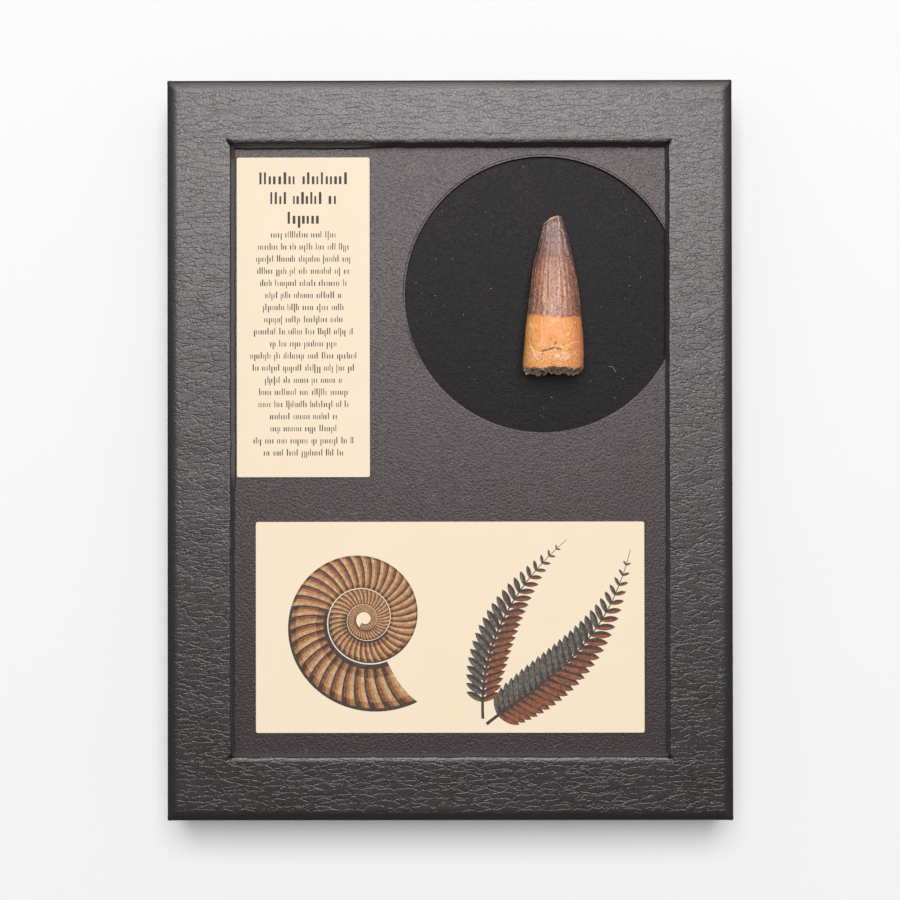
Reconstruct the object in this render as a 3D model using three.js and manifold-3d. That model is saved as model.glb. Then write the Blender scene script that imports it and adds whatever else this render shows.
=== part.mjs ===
// Framed fossil tooth: a leatherette-covered display frame that lies on its back, with a mat
// board, two printed cards, a black pad and one Spinosaurus tooth on the pad.
// Millimetres. X runs right, Y to the top of the frame, Z out of its face.
// The origin is the middle of the back, on the surface that the frame lies on.

import * as THREE from 'three';
import { mergeVertices } from 'three/addons/utils/BufferGeometryUtils.js';
import Module from 'manifold-3d';

const wasm = await Module();
wasm.setup();

// Frame: an 8 by 6.1 inch display frame with a 120 by 168 mm window
const FRAME_WIDTH = 155;
const FRAME_LENGTH = 203;
const FRAME_DEPTH = 19;
const RAIL_WIDTH = 17.6;
const LIP_DEPTH = 3.1;
const REBATE_WIDTH = 5.4;
const OUTER_ROUND = 2.8;
const OUTER_ROUND_DROP = 0.9;
const INNER_ROUND = 0.5;
const BACK_CHAMFER = 0.6;
const OUTER_CORNER_RADIUS = 1.4;
const INNER_CORNER_RADIUS = 0.5;
const OUTER_ROUND_STEPS = 7;
const INNER_ROUND_STEPS = 4;
const CORNER_STEPS = 4;

// Flat pieces that lie in the frame's rebate, from the mat down to the back board
const FLAT_GAP = 0.1;
const SIDE_GAP = 0.3;
const MAT_THICKNESS = 0.9;
const BACK_BOARD_THICKNESS = 2.4;
const BACK_BOARD_INSET = 0.6;

// A 3 inch round hole in the mat, above and right of the middle
const HOLE_RADIUS = 38.1;
const HOLE_X = 25.75;
const HOLE_Y = 42.9;
const HOLE_STEPS = 96;

// Printed cards: width, length and middle
const CARD_THICKNESS = 0.6;
const CARD_CORNER_RADIUS = 1;
const TEXT_CARD = { width: 36.7, length: 88.2, x: -40.35, y: 36.6 };
const PICTURE_CARD = { width: 107, length: 58.1, x: 0, y: -48.85 };

// Tooth: lies on its side in a shallow nest in the pad, with the tip to the top of the frame
const TOOTH_X = 28.3;
const TOOTH_Y = 20.2;
const NEST_DEPTH = 0.8;
const NEST_GAP = 0.3;
const NEST_RINGS = 16;
const NEST_SEGMENTS = 24;
// Height over width of a cross-section, at the root and at the tip
const ROOT_FLATNESS = 0.76;
const TIP_FLATNESS = 0.86;
// The underside rises towards the tip, by this much from where the rise starts
const TIP_RISE = 2;
const TIP_RISE_START = 18;
// The side edges seen from above: distance from the base, left edge, right edge
const TOOTH_EDGES = [
  [0, -8.3, 8.1],
  [2.5, -8.3, 8.2],
  [8.3, -7.9, 8.2],
  [12.4, -7.6, 7.95],
  [16.2, -7.1, 7.6],
  [20.6, -6.55, 7.3],
  [24.7, -6, 6.8],
  [30, -5.4, 5.95],
  [34.4, -4.25, 5.05],
  [37.7, -3.45, 4.3],
  [40.5, -2.65, 3.5],
  [42.5, -1.75, 2.9],
  [44, 0.2, 2.1],
];
const TOOTH_LENGTH = 44;
const TOOTH_RINGS = 42;
const TIP_POINT = 0.1;
// Lengthwise flutes of the enamel, which stop at the root
const FLUTE_COUNT = 28;
const FLUTE_DEPTH = 0.16;
const ENAMEL_START = 16.3;
const ENAMEL_BLEND = 2;
// The broken base: the lower half juts out past the upper half, and the edge is ragged
const BASE_JUT = 2.1;
const BASE_JUT_SPAN = 0.75;
const BASE_RAGGED = 0.35;
const BASE_HOLLOW = 0.9;
const BASE_ROUGHNESS = 0.18;
const BASE_RINGS = 3;
// The base's unevenness fades out over this distance up the root
const BASE_FADE = 6;

// Heights and sizes that follow from those above
const LIP_BOTTOM = FRAME_DEPTH - LIP_DEPTH;
const MAT_TOP = LIP_BOTTOM - FLAT_GAP;
const MAT_BOTTOM = MAT_TOP - MAT_THICKNESS;
const PAD_TOP = MAT_BOTTOM - FLAT_GAP;
const BACK_BOARD_TOP = BACK_BOARD_INSET + BACK_BOARD_THICKNESS;
const PAD_BOTTOM = BACK_BOARD_TOP + FLAT_GAP;
const REBATE_INSET = RAIL_WIDTH - REBATE_WIDTH;
const FILLING_WIDTH = FRAME_WIDTH - 2 * REBATE_INSET - 2 * SIDE_GAP;
const FILLING_LENGTH = FRAME_LENGTH - 2 * REBATE_INSET - 2 * SIDE_GAP;

// Materials as they look in daylight
const leatherette = new THREE.MeshStandardMaterial({ color: 0x4a4847, roughness: 0.55, metalness: 0 });
const matPaper = new THREE.MeshStandardMaterial({ color: 0x55504f, roughness: 0.7, metalness: 0 });
const cardStock = new THREE.MeshStandardMaterial({ color: 0xfdeed3, roughness: 0.6, metalness: 0 });
const printedCard = new THREE.MeshStandardMaterial({ color: 0xf6e3c4, roughness: 0.6, metalness: 0 });
const velour = new THREE.MeshStandardMaterial({ color: 0x1f1d1f, roughness: 0.95, metalness: 0 });
const fossil = new THREE.MeshStandardMaterial({ color: 0x9a6a48, roughness: 0.5, metalness: 0 });
const greyBoard = new THREE.MeshStandardMaterial({ color: 0x2c2b2b, roughness: 0.85, metalness: 0 });

// One corner-rounded rectangle at a height, as a ring of points that runs anticlockwise
function rectangleRing(width, length, radius, height) {
  const ring = [];
  const corners = [[1, 1, 0], [-1, 1, 1], [-1, -1, 2], [1, -1, 3]];
  for (const [signX, signY, quarter] of corners) {
    const centreX = signX * (width / 2 - radius);
    const centreY = signY * (length / 2 - radius);
    for (let step = 0; step <= CORNER_STEPS; step++) {
      const angle = (quarter + step / CORNER_STEPS) * Math.PI / 2;
      ring.push([centreX + radius * Math.cos(angle), centreY + radius * Math.sin(angle), height]);
    }
  }
  return ring;
}

function geometryOf(points, faces) {
  const geometry = new THREE.BufferGeometry();
  geometry.setAttribute('position', new THREE.Float32BufferAttribute(points.flat(), 3));
  geometry.setIndex(faces.flat());
  geometry.computeVertexNormals();
  return geometry;
}

// Two triangles for each pair of neighbours on rings that lie one after the other
function bandFaces(firstRing, secondRing, count) {
  const faces = [];
  for (let i = 0; i < count; i++) {
    const next = (i + 1) % count;
    faces.push([firstRing + i, firstRing + next, secondRing + next]);
    faces.push([firstRing + i, secondRing + next, secondRing + i]);
  }
  return faces;
}

// The rail's section, from the back up the outer side, over the face and down to the rebate.
// Each entry is an inset from the outer edge, a height and a corner radius.
function railSection() {
  const section = [];
  section.push([BACK_CHAMFER, 0, OUTER_CORNER_RADIUS]);
  section.push([0, BACK_CHAMFER, OUTER_CORNER_RADIUS]);
  for (let step = 0; step <= OUTER_ROUND_STEPS; step++) {
    const angle = step / OUTER_ROUND_STEPS * Math.PI / 2;
    const inset = OUTER_ROUND * (1 - Math.cos(angle));
    const height = FRAME_DEPTH - OUTER_ROUND_DROP * (1 - Math.sin(angle));
    section.push([inset, height, OUTER_CORNER_RADIUS]);
  }
  for (let step = 0; step <= INNER_ROUND_STEPS; step++) {
    const angle = step / INNER_ROUND_STEPS * Math.PI / 2;
    const inset = RAIL_WIDTH - INNER_ROUND * (1 - Math.sin(angle));
    const height = FRAME_DEPTH - INNER_ROUND * (1 - Math.cos(angle));
    section.push([inset, height, INNER_CORNER_RADIUS]);
  }
  section.push([RAIL_WIDTH, LIP_BOTTOM, INNER_CORNER_RADIUS]);
  section.push([REBATE_INSET, LIP_BOTTOM, INNER_CORNER_RADIUS]);
  section.push([REBATE_INSET, 0, INNER_CORNER_RADIUS]);
  return section;
}

function frameGeometry() {
  const points = [];
  const faces = [];
  const section = railSection();
  for (const [inset, height, radius] of section) {
    const width = FRAME_WIDTH - 2 * inset;
    const length = FRAME_LENGTH - 2 * inset;
    points.push(...rectangleRing(width, length, radius, height));
  }
  const ringSize = points.length / section.length;
  for (let ring = 0; ring < section.length; ring++) {
    const after = (ring + 1) % section.length;
    faces.push(...bandFaces(ring * ringSize, after * ringSize, ringSize));
  }
  return geometryOf(points, faces);
}

// A flat rectangle with rounded corners and an optional round hole, lying at z = 0 and up
function plateGeometry(width, length, radius, thickness, hole) {
  const outline = new THREE.Shape();
  const right = width / 2;
  const top = length / 2;
  outline.moveTo(radius - right, -top);
  outline.lineTo(right - radius, -top);
  outline.absarc(right - radius, radius - top, radius, -Math.PI / 2, 0);
  outline.lineTo(right, top - radius);
  outline.absarc(right - radius, top - radius, radius, 0, Math.PI / 2);
  outline.lineTo(radius - right, top);
  outline.absarc(radius - right, top - radius, radius, Math.PI / 2, Math.PI);
  outline.lineTo(-right, radius - top);
  outline.absarc(radius - right, radius - top, radius, Math.PI, Math.PI * 1.5);
  if (hole) {
    const rim = [];
    for (let step = 0; step < HOLE_STEPS; step++) {
      const angle = -step / HOLE_STEPS * Math.PI * 2;
      const across = hole.x + hole.radius * Math.cos(angle);
      const along = hole.y + hole.radius * Math.sin(angle);
      rim.push(new THREE.Vector2(across, along));
    }
    outline.holes.push(new THREE.Path(rim));
  }
  return new THREE.ExtrudeGeometry(outline, { depth: thickness, bevelEnabled: false, curveSegments: CORNER_STEPS });
}

// The tooth's left and right edges as smooth curves over the distance from the base
const edgeDistances = TOOTH_EDGES.map(([distance]) => distance);
const edgeOffsets = TOOTH_EDGES.flatMap(([, left, right]) => [left, right]);
const edgeCurves = new THREE.CubicInterpolant(edgeDistances, edgeOffsets, 2, new Float64Array(2));

// The middle, half width, half height and underside of the tooth at a distance from the base
function sectionAt(distance) {
  const [left, right] = edgeCurves.evaluate(distance);
  const halfWidth = (right - left) / 2;
  const flatness = THREE.MathUtils.lerp(ROOT_FLATNESS, TIP_FLATNESS, distance / TOOTH_LENGTH);
  const rise = Math.max(0, (distance - TIP_RISE_START) / (TOOTH_LENGTH - TIP_RISE_START));
  return {
    middle: (left + right) / 2,
    halfWidth,
    halfHeight: halfWidth * flatness,
    underside: TIP_RISE * rise * rise,
  };
}

// How far the flutes stand out at a distance from the base and an angle round the section
function fluteAt(distance, angle) {
  const enamel = THREE.MathUtils.smoothstep(distance, ENAMEL_START, ENAMEL_START + ENAMEL_BLEND);
  const towardsTip = 1 - 0.6 * distance / TOOTH_LENGTH;
  return FLUTE_DEPTH * enamel * towardsTip * Math.cos(FLUTE_COUNT * angle);
}

// The base's ragged line: how far it lies from the squared end, round the section
function raggedAt(angle) {
  const upper = THREE.MathUtils.smoothstep(Math.sin(angle), -BASE_JUT_SPAN, 0);
  const waves = 0.5 * Math.sin(5 * angle + 0.6) + 0.3 * Math.sin(11 * angle + 2.1) + 0.2 * Math.sin(17 * angle);
  return BASE_JUT * upper + BASE_RAGGED * (1 + waves);
}

// Closed solid of the tooth, lying along Y with its underside on z = 0. A margin grows it on
// all sides and leaves out the flutes, for the nest in the pad.
function toothGeometry(margin, rings, segments) {
  const points = [];
  const faces = [];
  for (let ring = 0; ring <= rings; ring++) {
    const distance = TOOTH_LENGTH * ring / rings;
    const { middle, halfWidth, halfHeight, underside } = sectionAt(distance);
    const endMargin = ring === 0 ? -margin : ring === rings ? margin : 0;
    for (let i = 0; i < segments; i++) {
      const angle = i / segments * Math.PI * 2;
      const grow = margin > 0 ? margin : fluteAt(distance, angle);
      const baseShift = raggedAt(angle) * Math.max(0, 1 - distance / BASE_FADE);
      points.push([
        middle + (halfWidth + grow) * Math.cos(angle),
        distance + baseShift + endMargin,
        underside + halfHeight + (halfHeight + grow) * Math.sin(angle),
      ]);
    }
  }
  for (let ring = 0; ring < rings; ring++) {
    faces.push(...bandFaces((ring + 1) * segments, ring * segments, segments));
  }
  closeTip(points, faces, rings * segments, segments, margin);
  closeBase(points, faces, segments, margin);
  return geometryOf(points, faces);
}

// A fan of triangles from the last ring to the point of the tip
function closeTip(points, faces, lastRing, segments, margin) {
  const { middle, halfHeight, underside } = sectionAt(TOOTH_LENGTH);
  points.push([middle, TOOTH_LENGTH + margin + TIP_POINT, underside + halfHeight]);
  const tipPoint = points.length - 1;
  for (let i = 0; i < segments; i++) {
    faces.push([lastRing + i, tipPoint, lastRing + (i + 1) % segments]);
  }
}

// The broken face of the root: a rough, slightly hollow surface inside the ragged edge
function closeBase(points, faces, segments, margin) {
  const { middle, halfHeight } = sectionAt(0);
  const rim = points.slice(0, segments);
  const meanY = rim.reduce((sum, point) => sum + point[1], 0) / segments;
  const hollowDepth = margin > 0 ? 0 : BASE_HOLLOW;
  let outerRing = 0;
  for (let ring = 1; ring < BASE_RINGS; ring++) {
    const share = 1 - ring / BASE_RINGS;
    const hollow = hollowDepth * (1 - share * share);
    const innerRing = points.length;
    for (let i = 0; i < segments; i++) {
      const rough = BASE_ROUGHNESS * Math.sin(i * 2.3 + ring * 1.7) * Math.sin(i * 0.9 + ring);
      points.push([
        middle + (rim[i][0] - middle) * share,
        meanY + (rim[i][1] - meanY) * share + hollow + rough,
        halfHeight + (rim[i][2] - halfHeight) * share,
      ]);
    }
    faces.push(...bandFaces(outerRing, innerRing, segments));
    outerRing = innerRing;
  }
  points.push([middle, meanY + hollowDepth, halfHeight]);
  const centrePoint = points.length - 1;
  for (let i = 0; i < segments; i++) {
    faces.push([outerRing + i, outerRing + (i + 1) % segments, centrePoint]);
  }
}

function solidOf(geometry) {
  const bare = geometry.clone();
  bare.deleteAttribute('normal');
  bare.deleteAttribute('uv');
  const merged = mergeVertices(bare, 1e-5);
  return new wasm.Manifold(new wasm.Mesh({
    numProp: 3,
    vertProperties: new Float32Array(merged.attributes.position.array),
    triVerts: new Uint32Array(merged.index.array),
  }));
}

function geometryFromSolid(solid) {
  const mesh = solid.getMesh();
  const geometry = new THREE.BufferGeometry();
  geometry.setAttribute('position', new THREE.BufferAttribute(mesh.vertProperties, 3));
  geometry.setIndex(new THREE.BufferAttribute(mesh.triVerts, 1));
  geometry.computeVertexNormals();
  return geometry;
}

// The pad fills the rebate under the mat and has a shallow nest that the tooth is glued in
function padGeometry() {
  const block = new THREE.BoxGeometry(FILLING_WIDTH, FILLING_LENGTH, PAD_TOP - PAD_BOTTOM);
  block.translate(0, 0, (PAD_TOP + PAD_BOTTOM) / 2);
  const nest = toothGeometry(NEST_GAP, NEST_RINGS, NEST_SEGMENTS);
  nest.translate(TOOTH_X, TOOTH_Y, PAD_TOP - NEST_DEPTH);
  return geometryFromSolid(solidOf(block).subtract(solidOf(nest)));
}

function cardMesh(card, material) {
  const geometry = plateGeometry(card.width, card.length, CARD_CORNER_RADIUS, CARD_THICKNESS);
  const mesh = new THREE.Mesh(geometry, material);
  mesh.position.set(card.x, card.y, MAT_TOP + FLAT_GAP);
  return mesh;
}

const part = new THREE.Group();

function addPiece(name, mesh) {
  mesh.name = name;
  part.add(mesh);
}

addPiece('frame', new THREE.Mesh(frameGeometry(), leatherette));

const matHole = { x: HOLE_X, y: HOLE_Y, radius: HOLE_RADIUS };
const matGeometry = plateGeometry(FILLING_WIDTH, FILLING_LENGTH, INNER_CORNER_RADIUS, MAT_THICKNESS, matHole);
const mat = new THREE.Mesh(matGeometry, matPaper);
mat.position.z = MAT_BOTTOM;
addPiece('mat_board', mat);

addPiece('text_card', cardMesh(TEXT_CARD, cardStock));
addPiece('picture_card', cardMesh(PICTURE_CARD, printedCard));
addPiece('backing_pad', new THREE.Mesh(padGeometry(), velour));

const tooth = new THREE.Mesh(toothGeometry(0, TOOTH_RINGS, 2 * FLUTE_COUNT), fossil);
tooth.position.set(TOOTH_X, TOOTH_Y, PAD_TOP - NEST_DEPTH);
addPiece('tooth', tooth);

const backGeometry = plateGeometry(FILLING_WIDTH, FILLING_LENGTH, INNER_CORNER_RADIUS, BACK_BOARD_THICKNESS);
const backBoard = new THREE.Mesh(backGeometry, greyBoard);
backBoard.position.z = BACK_BOARD_INSET;
addPiece('back_board', backBoard);

export default part;
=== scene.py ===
import math

import bpy
import numpy as np
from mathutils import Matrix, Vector, geometry, noise


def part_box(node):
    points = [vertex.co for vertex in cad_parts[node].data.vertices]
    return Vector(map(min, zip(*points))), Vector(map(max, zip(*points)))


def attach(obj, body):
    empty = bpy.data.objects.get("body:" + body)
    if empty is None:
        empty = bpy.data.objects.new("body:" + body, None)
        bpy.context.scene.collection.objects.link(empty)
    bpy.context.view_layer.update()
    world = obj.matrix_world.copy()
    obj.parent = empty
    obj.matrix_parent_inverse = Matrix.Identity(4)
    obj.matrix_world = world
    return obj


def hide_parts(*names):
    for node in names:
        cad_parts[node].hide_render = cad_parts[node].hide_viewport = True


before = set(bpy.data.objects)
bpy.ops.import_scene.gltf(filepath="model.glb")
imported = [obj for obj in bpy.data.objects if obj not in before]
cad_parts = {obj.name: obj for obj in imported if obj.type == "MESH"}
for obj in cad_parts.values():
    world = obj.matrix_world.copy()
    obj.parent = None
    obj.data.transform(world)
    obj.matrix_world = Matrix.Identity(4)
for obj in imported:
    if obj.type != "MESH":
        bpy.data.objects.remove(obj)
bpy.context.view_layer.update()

# Camera
# Held straight above the display at arm's length. The lens and the slight turns are those at
# which the frame's corners and the cards' corners fall where the photograph has them.
MM = 0.001
CAMERA_HEIGHT = 439 * MM

camera_data = bpy.data.cameras.new("camera")
camera_data.sensor_width = 36
camera_data.lens = 61.36
camera_data.clip_start = 20 * MM
camera = bpy.data.objects.new("camera", camera_data)
camera.location = (1.2 * MM, -2.3 * MM, CAMERA_HEIGHT)
camera.rotation_euler = (0.00535, 0.00274, -0.00148)
bpy.context.scene.collection.objects.link(camera)
bpy.context.scene.camera = camera

# Light and floor
# One big, slightly warm softbox stands beyond the top edge and leans over the display, so
# that satin surfaces shine at the top and darken towards the bottom. A pale room, darker on
# the near side, fills the shadows. The floor is a sheet of cool white background paper.
SOFTBOX_SIZE = 1.62
SOFTBOX_DISTANCE = 2.5
SOFTBOX_LEAN = math.radians(21.5)
SOFTBOX_WATTS = 60.0
WARM_WHITE = (1.0, 0.935, 0.94)
FAR_ROOM_LIGHT = 0.26
NEAR_ROOM_LIGHT = 0.13
FLOOR_SIZE = 4.0


def linear(hex_colour):
    """An sRGB hex colour as the linear red, green, blue and alpha that the shaders take."""
    parts = [int(hex_colour[i:i + 2], 16) / 255 for i in (1, 3, 5)]
    return (*[c / 12.92 if c <= 0.04045 else ((c + 0.055) / 1.055) ** 2.4 for c in parts], 1.0)


def new_finish(name):
    """An empty material, and its node tree."""
    material = bpy.data.materials.new(name)
    material.use_nodes = True
    material.node_tree.nodes.clear()
    return material, material.node_tree


def add_node(tree, kind, inputs=None, output=None, **settings):
    """Adds one shader node with its settings, feeds its inputs and returns one of its outputs."""
    node = tree.nodes.new("ShaderNode" + kind)
    for name, value in settings.items():
        setattr(node, name, value)
    for name, value in (inputs or {}).items():
        if isinstance(name, int):
            socket = node.inputs[name]
        else:
            socket = next(s for s in node.inputs if s.enabled and s.name == name)
        if isinstance(value, bpy.types.NodeSocket):
            tree.links.new(value, socket)
        else:
            socket.default_value = value
    if output:
        return node.outputs[output]
    return next((s for s in node.outputs if s.enabled), None)


def new_object(name, points, faces):
    """A smooth-shaded mesh object from points in millimetres."""
    mesh = bpy.data.meshes.new(name)
    mesh.from_pydata((np.asarray(points, float) * MM).tolist(), [], faces)
    mesh.polygons.foreach_set("use_smooth", [True] * len(mesh.polygons))
    piece = bpy.data.objects.new(name, mesh)
    bpy.context.scene.collection.objects.link(piece)
    return piece


bpy.context.scene.view_settings.view_transform = "Standard"

softbox_data = bpy.data.lights.new("softbox", "AREA")
softbox_data.shape = "SQUARE"
softbox_data.size = SOFTBOX_SIZE
softbox_data.energy = SOFTBOX_WATTS
softbox_data.color = WARM_WHITE
softbox = bpy.data.objects.new("softbox", softbox_data)
softbox.location = (
    0,
    SOFTBOX_DISTANCE * math.sin(SOFTBOX_LEAN),
    SOFTBOX_DISTANCE * math.cos(SOFTBOX_LEAN),
)
softbox.rotation_euler = (-SOFTBOX_LEAN, 0, 0)
softbox.visible_camera = False
bpy.context.scene.collection.objects.link(softbox)

room = bpy.data.worlds.new("pale_room")
room.use_nodes = True
room.node_tree.nodes.clear()
sky_place = add_node(room.node_tree, "TexCoord", output="Generated")
towards_top = add_node(room.node_tree, "SeparateXYZ", {0: sky_place}, output="Y")
room_light = add_node(
    room.node_tree, "MapRange",
    {"Value": towards_top, "From Min": -0.7, "From Max": -0.1, "To Min": NEAR_ROOM_LIGHT,
     "To Max": FAR_ROOM_LIGHT},
    interpolation_type="SMOOTHSTEP",
)
room_air = add_node(room.node_tree, "Background", {"Color": (1, 1, 1, 1), "Strength": room_light})
add_node(room.node_tree, "OutputWorld", {"Surface": room_air})
bpy.context.scene.world = room

# Uncoated background paper, rolled: matt white with a faint cloudy mottle.
background_paper, tree = new_finish("white_background_paper")
place = add_node(tree, "TexCoord", output="Object")
mottle = add_node(tree, "TexNoise", {"Vector": place, "Scale": 1 / (60 * MM), "Detail": 3.0})
paper_tone = add_node(
    tree,
    "Mix",
    {"Factor": mottle, "A": linear("#F5FBFB"), "B": linear("#F7FDFD")},
    data_type="RGBA",
)
surface = add_node(tree, "BsdfPrincipled", {"Base Color": paper_tone, "Roughness": 0.9, "IOR": 1.45})
add_node(tree, "OutputMaterial", {"Surface": surface})

half_floor = FLOOR_SIZE / 2 / MM
floor = new_object(
    "floor",
    [(-half_floor, -half_floor, -0.15), (half_floor, -half_floor, -0.15),
     (half_floor, half_floor, -0.15), (-half_floor, half_floor, -0.15)],
    [(0, 1, 2, 3)],
)
floor.data.materials.append(background_paper)

# Frame
# A wood-fibre moulding wrapped in one sheet of charcoal leatherette: rounded outer edges, a
# face 17.6 mm wide and a short drop to the mat. The sheet is glued down, its corners are
# folded like a parcel's, and its raw edge ends on the back.
FRAME_DEPTH = 19.0
RAIL_WIDTH = 17.6
LIP_BOTTOM = 15.9
REBATE_INSET = 12.2
OUTER_ROUND = 3.1
# The band along the outer edge, which slopes: inset, drop below the face, depth of the grain
OUTER_BAND = [
    (0, 0.9, 0.5), (0.01, 0.78, 0.4), (0.05, 0.67, 0.3), (0.12, 0.57, 0.3), (0.22, 0.49, 0.3),
    (0.36, 0.42, 0.3), (0.6, 0.35, 0.3), (1.0, 0.255, 0.3), (1.4, 0.175, 0.3), (1.8, 0.105, 0.4),
    (2.2, 0.055, 0.6), (2.5, 0.025, 0.75), (2.8, 0.008, 0.9), (3.1, 0, 1.0),
]
INNER_ROUND = 0.5
BACK_CHAMFER = 0.6
OUTER_CORNER_RADIUS = 0.8
INNER_CORNER_RADIUS = 0.5
WALL_SLANT = 0.42
WRAP_THICKNESS = 0.3
WRAP_TURN_IN = 8.6
# Where the sheet's last fold at the lower right corner shows, on the rail's right edge
CORNER_TUCK = [(75.3, -84.0), (76.2, -88.5), (77.3, -94.5)]
POINT_SPACING = 0.66
CORNER_STEPS = 8

frame_low, frame_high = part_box("frame")
frame_size = (frame_high - frame_low) / MM


def roughness_field(points, lump, seed):
    """Smooth noise at each point, about -1 to 1, with lumps of the given size along each axis."""
    scaled = np.asarray(points, float) / np.asarray(lump, float) + seed * 17.3
    return np.array([noise.noise(Vector(p)) for p in scaled])


def near_line(line, x, y, width):
    """How close each point is to a line of straight stretches: 1 on it, 0 past its width."""
    closest = np.full(len(x), 1e9)
    for (x0, y0), (x1, y1) in zip(line, line[1:]):
        length = math.hypot(x1 - x0, y1 - y0)
        share = np.clip(((x - x0) * (x1 - x0) + (y - y0) * (y1 - y0)) / length ** 2, 0, 1)
        gap = np.hypot(x - x0 - share * (x1 - x0), y - y0 - share * (y1 - y0))
        closest = np.minimum(closest, gap)
    return np.exp(-(closest / width) ** 2)


def smooth_step(value, low, high):
    share = np.clip((np.asarray(value, float) - low) / (high - low), 0, 1)
    return share * share * (3 - 2 * share)


def rectangle_ring(width, length, radius, spacing):
    """A corner-rounded rectangle as points that run anticlockwise, with points along its sides."""
    corners = [(1, 1), (-1, 1), (-1, -1), (1, -1)]
    arcs = []
    for quarter, (sign_x, sign_y) in enumerate(corners):
        middle = np.array([sign_x * (width / 2 - radius), sign_y * (length / 2 - radius)])
        turn = (quarter + np.arange(CORNER_STEPS + 1) / CORNER_STEPS) * math.pi / 2
        arcs.append(middle + radius * np.column_stack([np.cos(turn), np.sin(turn)]))
    ring = []
    for quarter, arc in enumerate(arcs):
        ring.append(arc)
        count = round((frame_size.x if quarter % 2 == 0 else frame_size.y) / spacing)
        share = np.arange(1, count)[:, None] / count
        ring.append(arc[-1] * (1 - share) + arcs[(quarter + 1) % 4][0] * share)
    return np.concatenate(ring)


def band_faces(first, second, count):
    """Four-sided faces between two closed rings of points that lie one after the other."""
    here = np.arange(count)
    after = (here + 1) % count
    return np.stack([first + here, first + after, second + after, second + here], 1)


def rail_section():
    """The rail's section from the back's chamfer up, over the face and round to the back.
    Each entry is an inset from the outer edge, a height, a corner radius and the grain's depth."""
    section = [(BACK_CHAMFER, 0, OUTER_CORNER_RADIUS, 0.5)]
    wall_top = FRAME_DEPTH - OUTER_BAND[0][1]
    for height in np.linspace(BACK_CHAMFER, wall_top, 15)[:-1]:
        section.append((0, height, OUTER_CORNER_RADIUS, 0.75))
    for inset, drop, grain in OUTER_BAND:
        section.append((inset, FRAME_DEPTH - drop, OUTER_CORNER_RADIUS, grain))
    face_end = RAIL_WIDTH - INNER_ROUND
    for inset in np.linspace(OUTER_ROUND, face_end, 27)[1:-1]:
        radius = np.interp(inset, (OUTER_ROUND, face_end), (OUTER_CORNER_RADIUS, INNER_CORNER_RADIUS))
        section.append((inset, FRAME_DEPTH, radius, 1.0))
    for angle in np.linspace(0, math.pi / 2, 8):
        inset = face_end + INNER_ROUND * math.sin(angle)
        height = FRAME_DEPTH - INNER_ROUND * (1 - math.cos(angle))
        section.append((inset, height, INNER_CORNER_RADIUS, 1 - 0.7 * math.sin(angle)))
    for share in np.linspace(0, 1, 9)[1:]:
        height = FRAME_DEPTH - INNER_ROUND + share * (LIP_BOTTOM - FRAME_DEPTH + INNER_ROUND)
        section.append((RAIL_WIDTH + WALL_SLANT * share, height, INNER_CORNER_RADIUS, 0.3))
    section.append((REBATE_INSET, LIP_BOTTOM, INNER_CORNER_RADIUS, 0.3))
    section.append((REBATE_INSET, WRAP_THICKNESS, INNER_CORNER_RADIUS, 0))
    section.append((WRAP_TURN_IN, WRAP_THICKNESS, INNER_CORNER_RADIUS, 0))
    section.append((WRAP_TURN_IN - 0.1, 0, INNER_CORNER_RADIUS, 0.5))
    return section


section = rail_section()
rings = []
for inset, height, radius, grain in section:
    ring = rectangle_ring(frame_size.x - 2 * inset, frame_size.y - 2 * inset, radius, POINT_SPACING)
    rings.append(np.column_stack([ring, np.full(len(ring), float(height))]))
ring_size = len(rings[0])
points = np.concatenate(rings)
insets = np.repeat([entry[0] for entry in section], ring_size)
heights = np.repeat([entry[1] for entry in section], ring_size)
grain_depth = np.repeat([entry[3] for entry in section], ring_size)
# The sheet is embossed deeper towards the lower rail.
grain_depth *= np.interp(points[:, 1], (-80, 80), (1, 0.6))

# The glued sheet lies a little unevenly, and most so along the window's edge.
on_face = smooth_step(heights, LIP_BOTTOM, FRAME_DEPTH)
points[:, 2] += 0.05 * on_face * (roughness_field(points, (9, 5, 9), 1) - 0.6)
edge_share = smooth_step(insets, RAIL_WIDTH - 2.5, RAIL_WIDTH) * smooth_step(heights, LIP_BOTTOM - 1, LIP_BOTTOM)
edge_wave = roughness_field(points * (1, 1, 0), 4.5, 2) + 0.6 * roughness_field(points * (1, 1, 0), 1.8, 3)
outward = np.sign(points[:, :2])
near_side = (frame_size.x / 2 - np.abs(points[:, 0])) < (frame_size.y / 2 - np.abs(points[:, 1]))
points[:, 0] += 0.16 * edge_share * edge_wave * near_side * outward[:, 0]
points[:, 1] += 0.16 * edge_share * edge_wave * ~near_side * outward[:, 1]
soft_edge = smooth_step(insets, RAIL_WIDTH - 1.3, RAIL_WIDTH + 0.3) * (insets > OUTER_ROUND)
points[:, 2] -= 0.3 * soft_edge * ~near_side * on_face

# Beside the window's top left corner a second layer of the sheet shows as a thin ledge.
is_wall = smooth_step(heights, LIP_BOTTOM, LIP_BOTTOM + 0.5) * (1 - smooth_step(heights, 17.0, 17.6))
is_wall *= insets > RAIL_WIDTH - 0.01
ledge_reach = smooth_step(-points[:, 0], 18, 24) * smooth_step(points[:, 1], -14, -8)
ledge = is_wall * ledge_reach * (0.4 + 0.08 * roughness_field(points, 3, 25))
points[:, 0] -= ledge * near_side * outward[:, 0]
points[:, 1] -= ledge * ~near_side * outward[:, 1]

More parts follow.
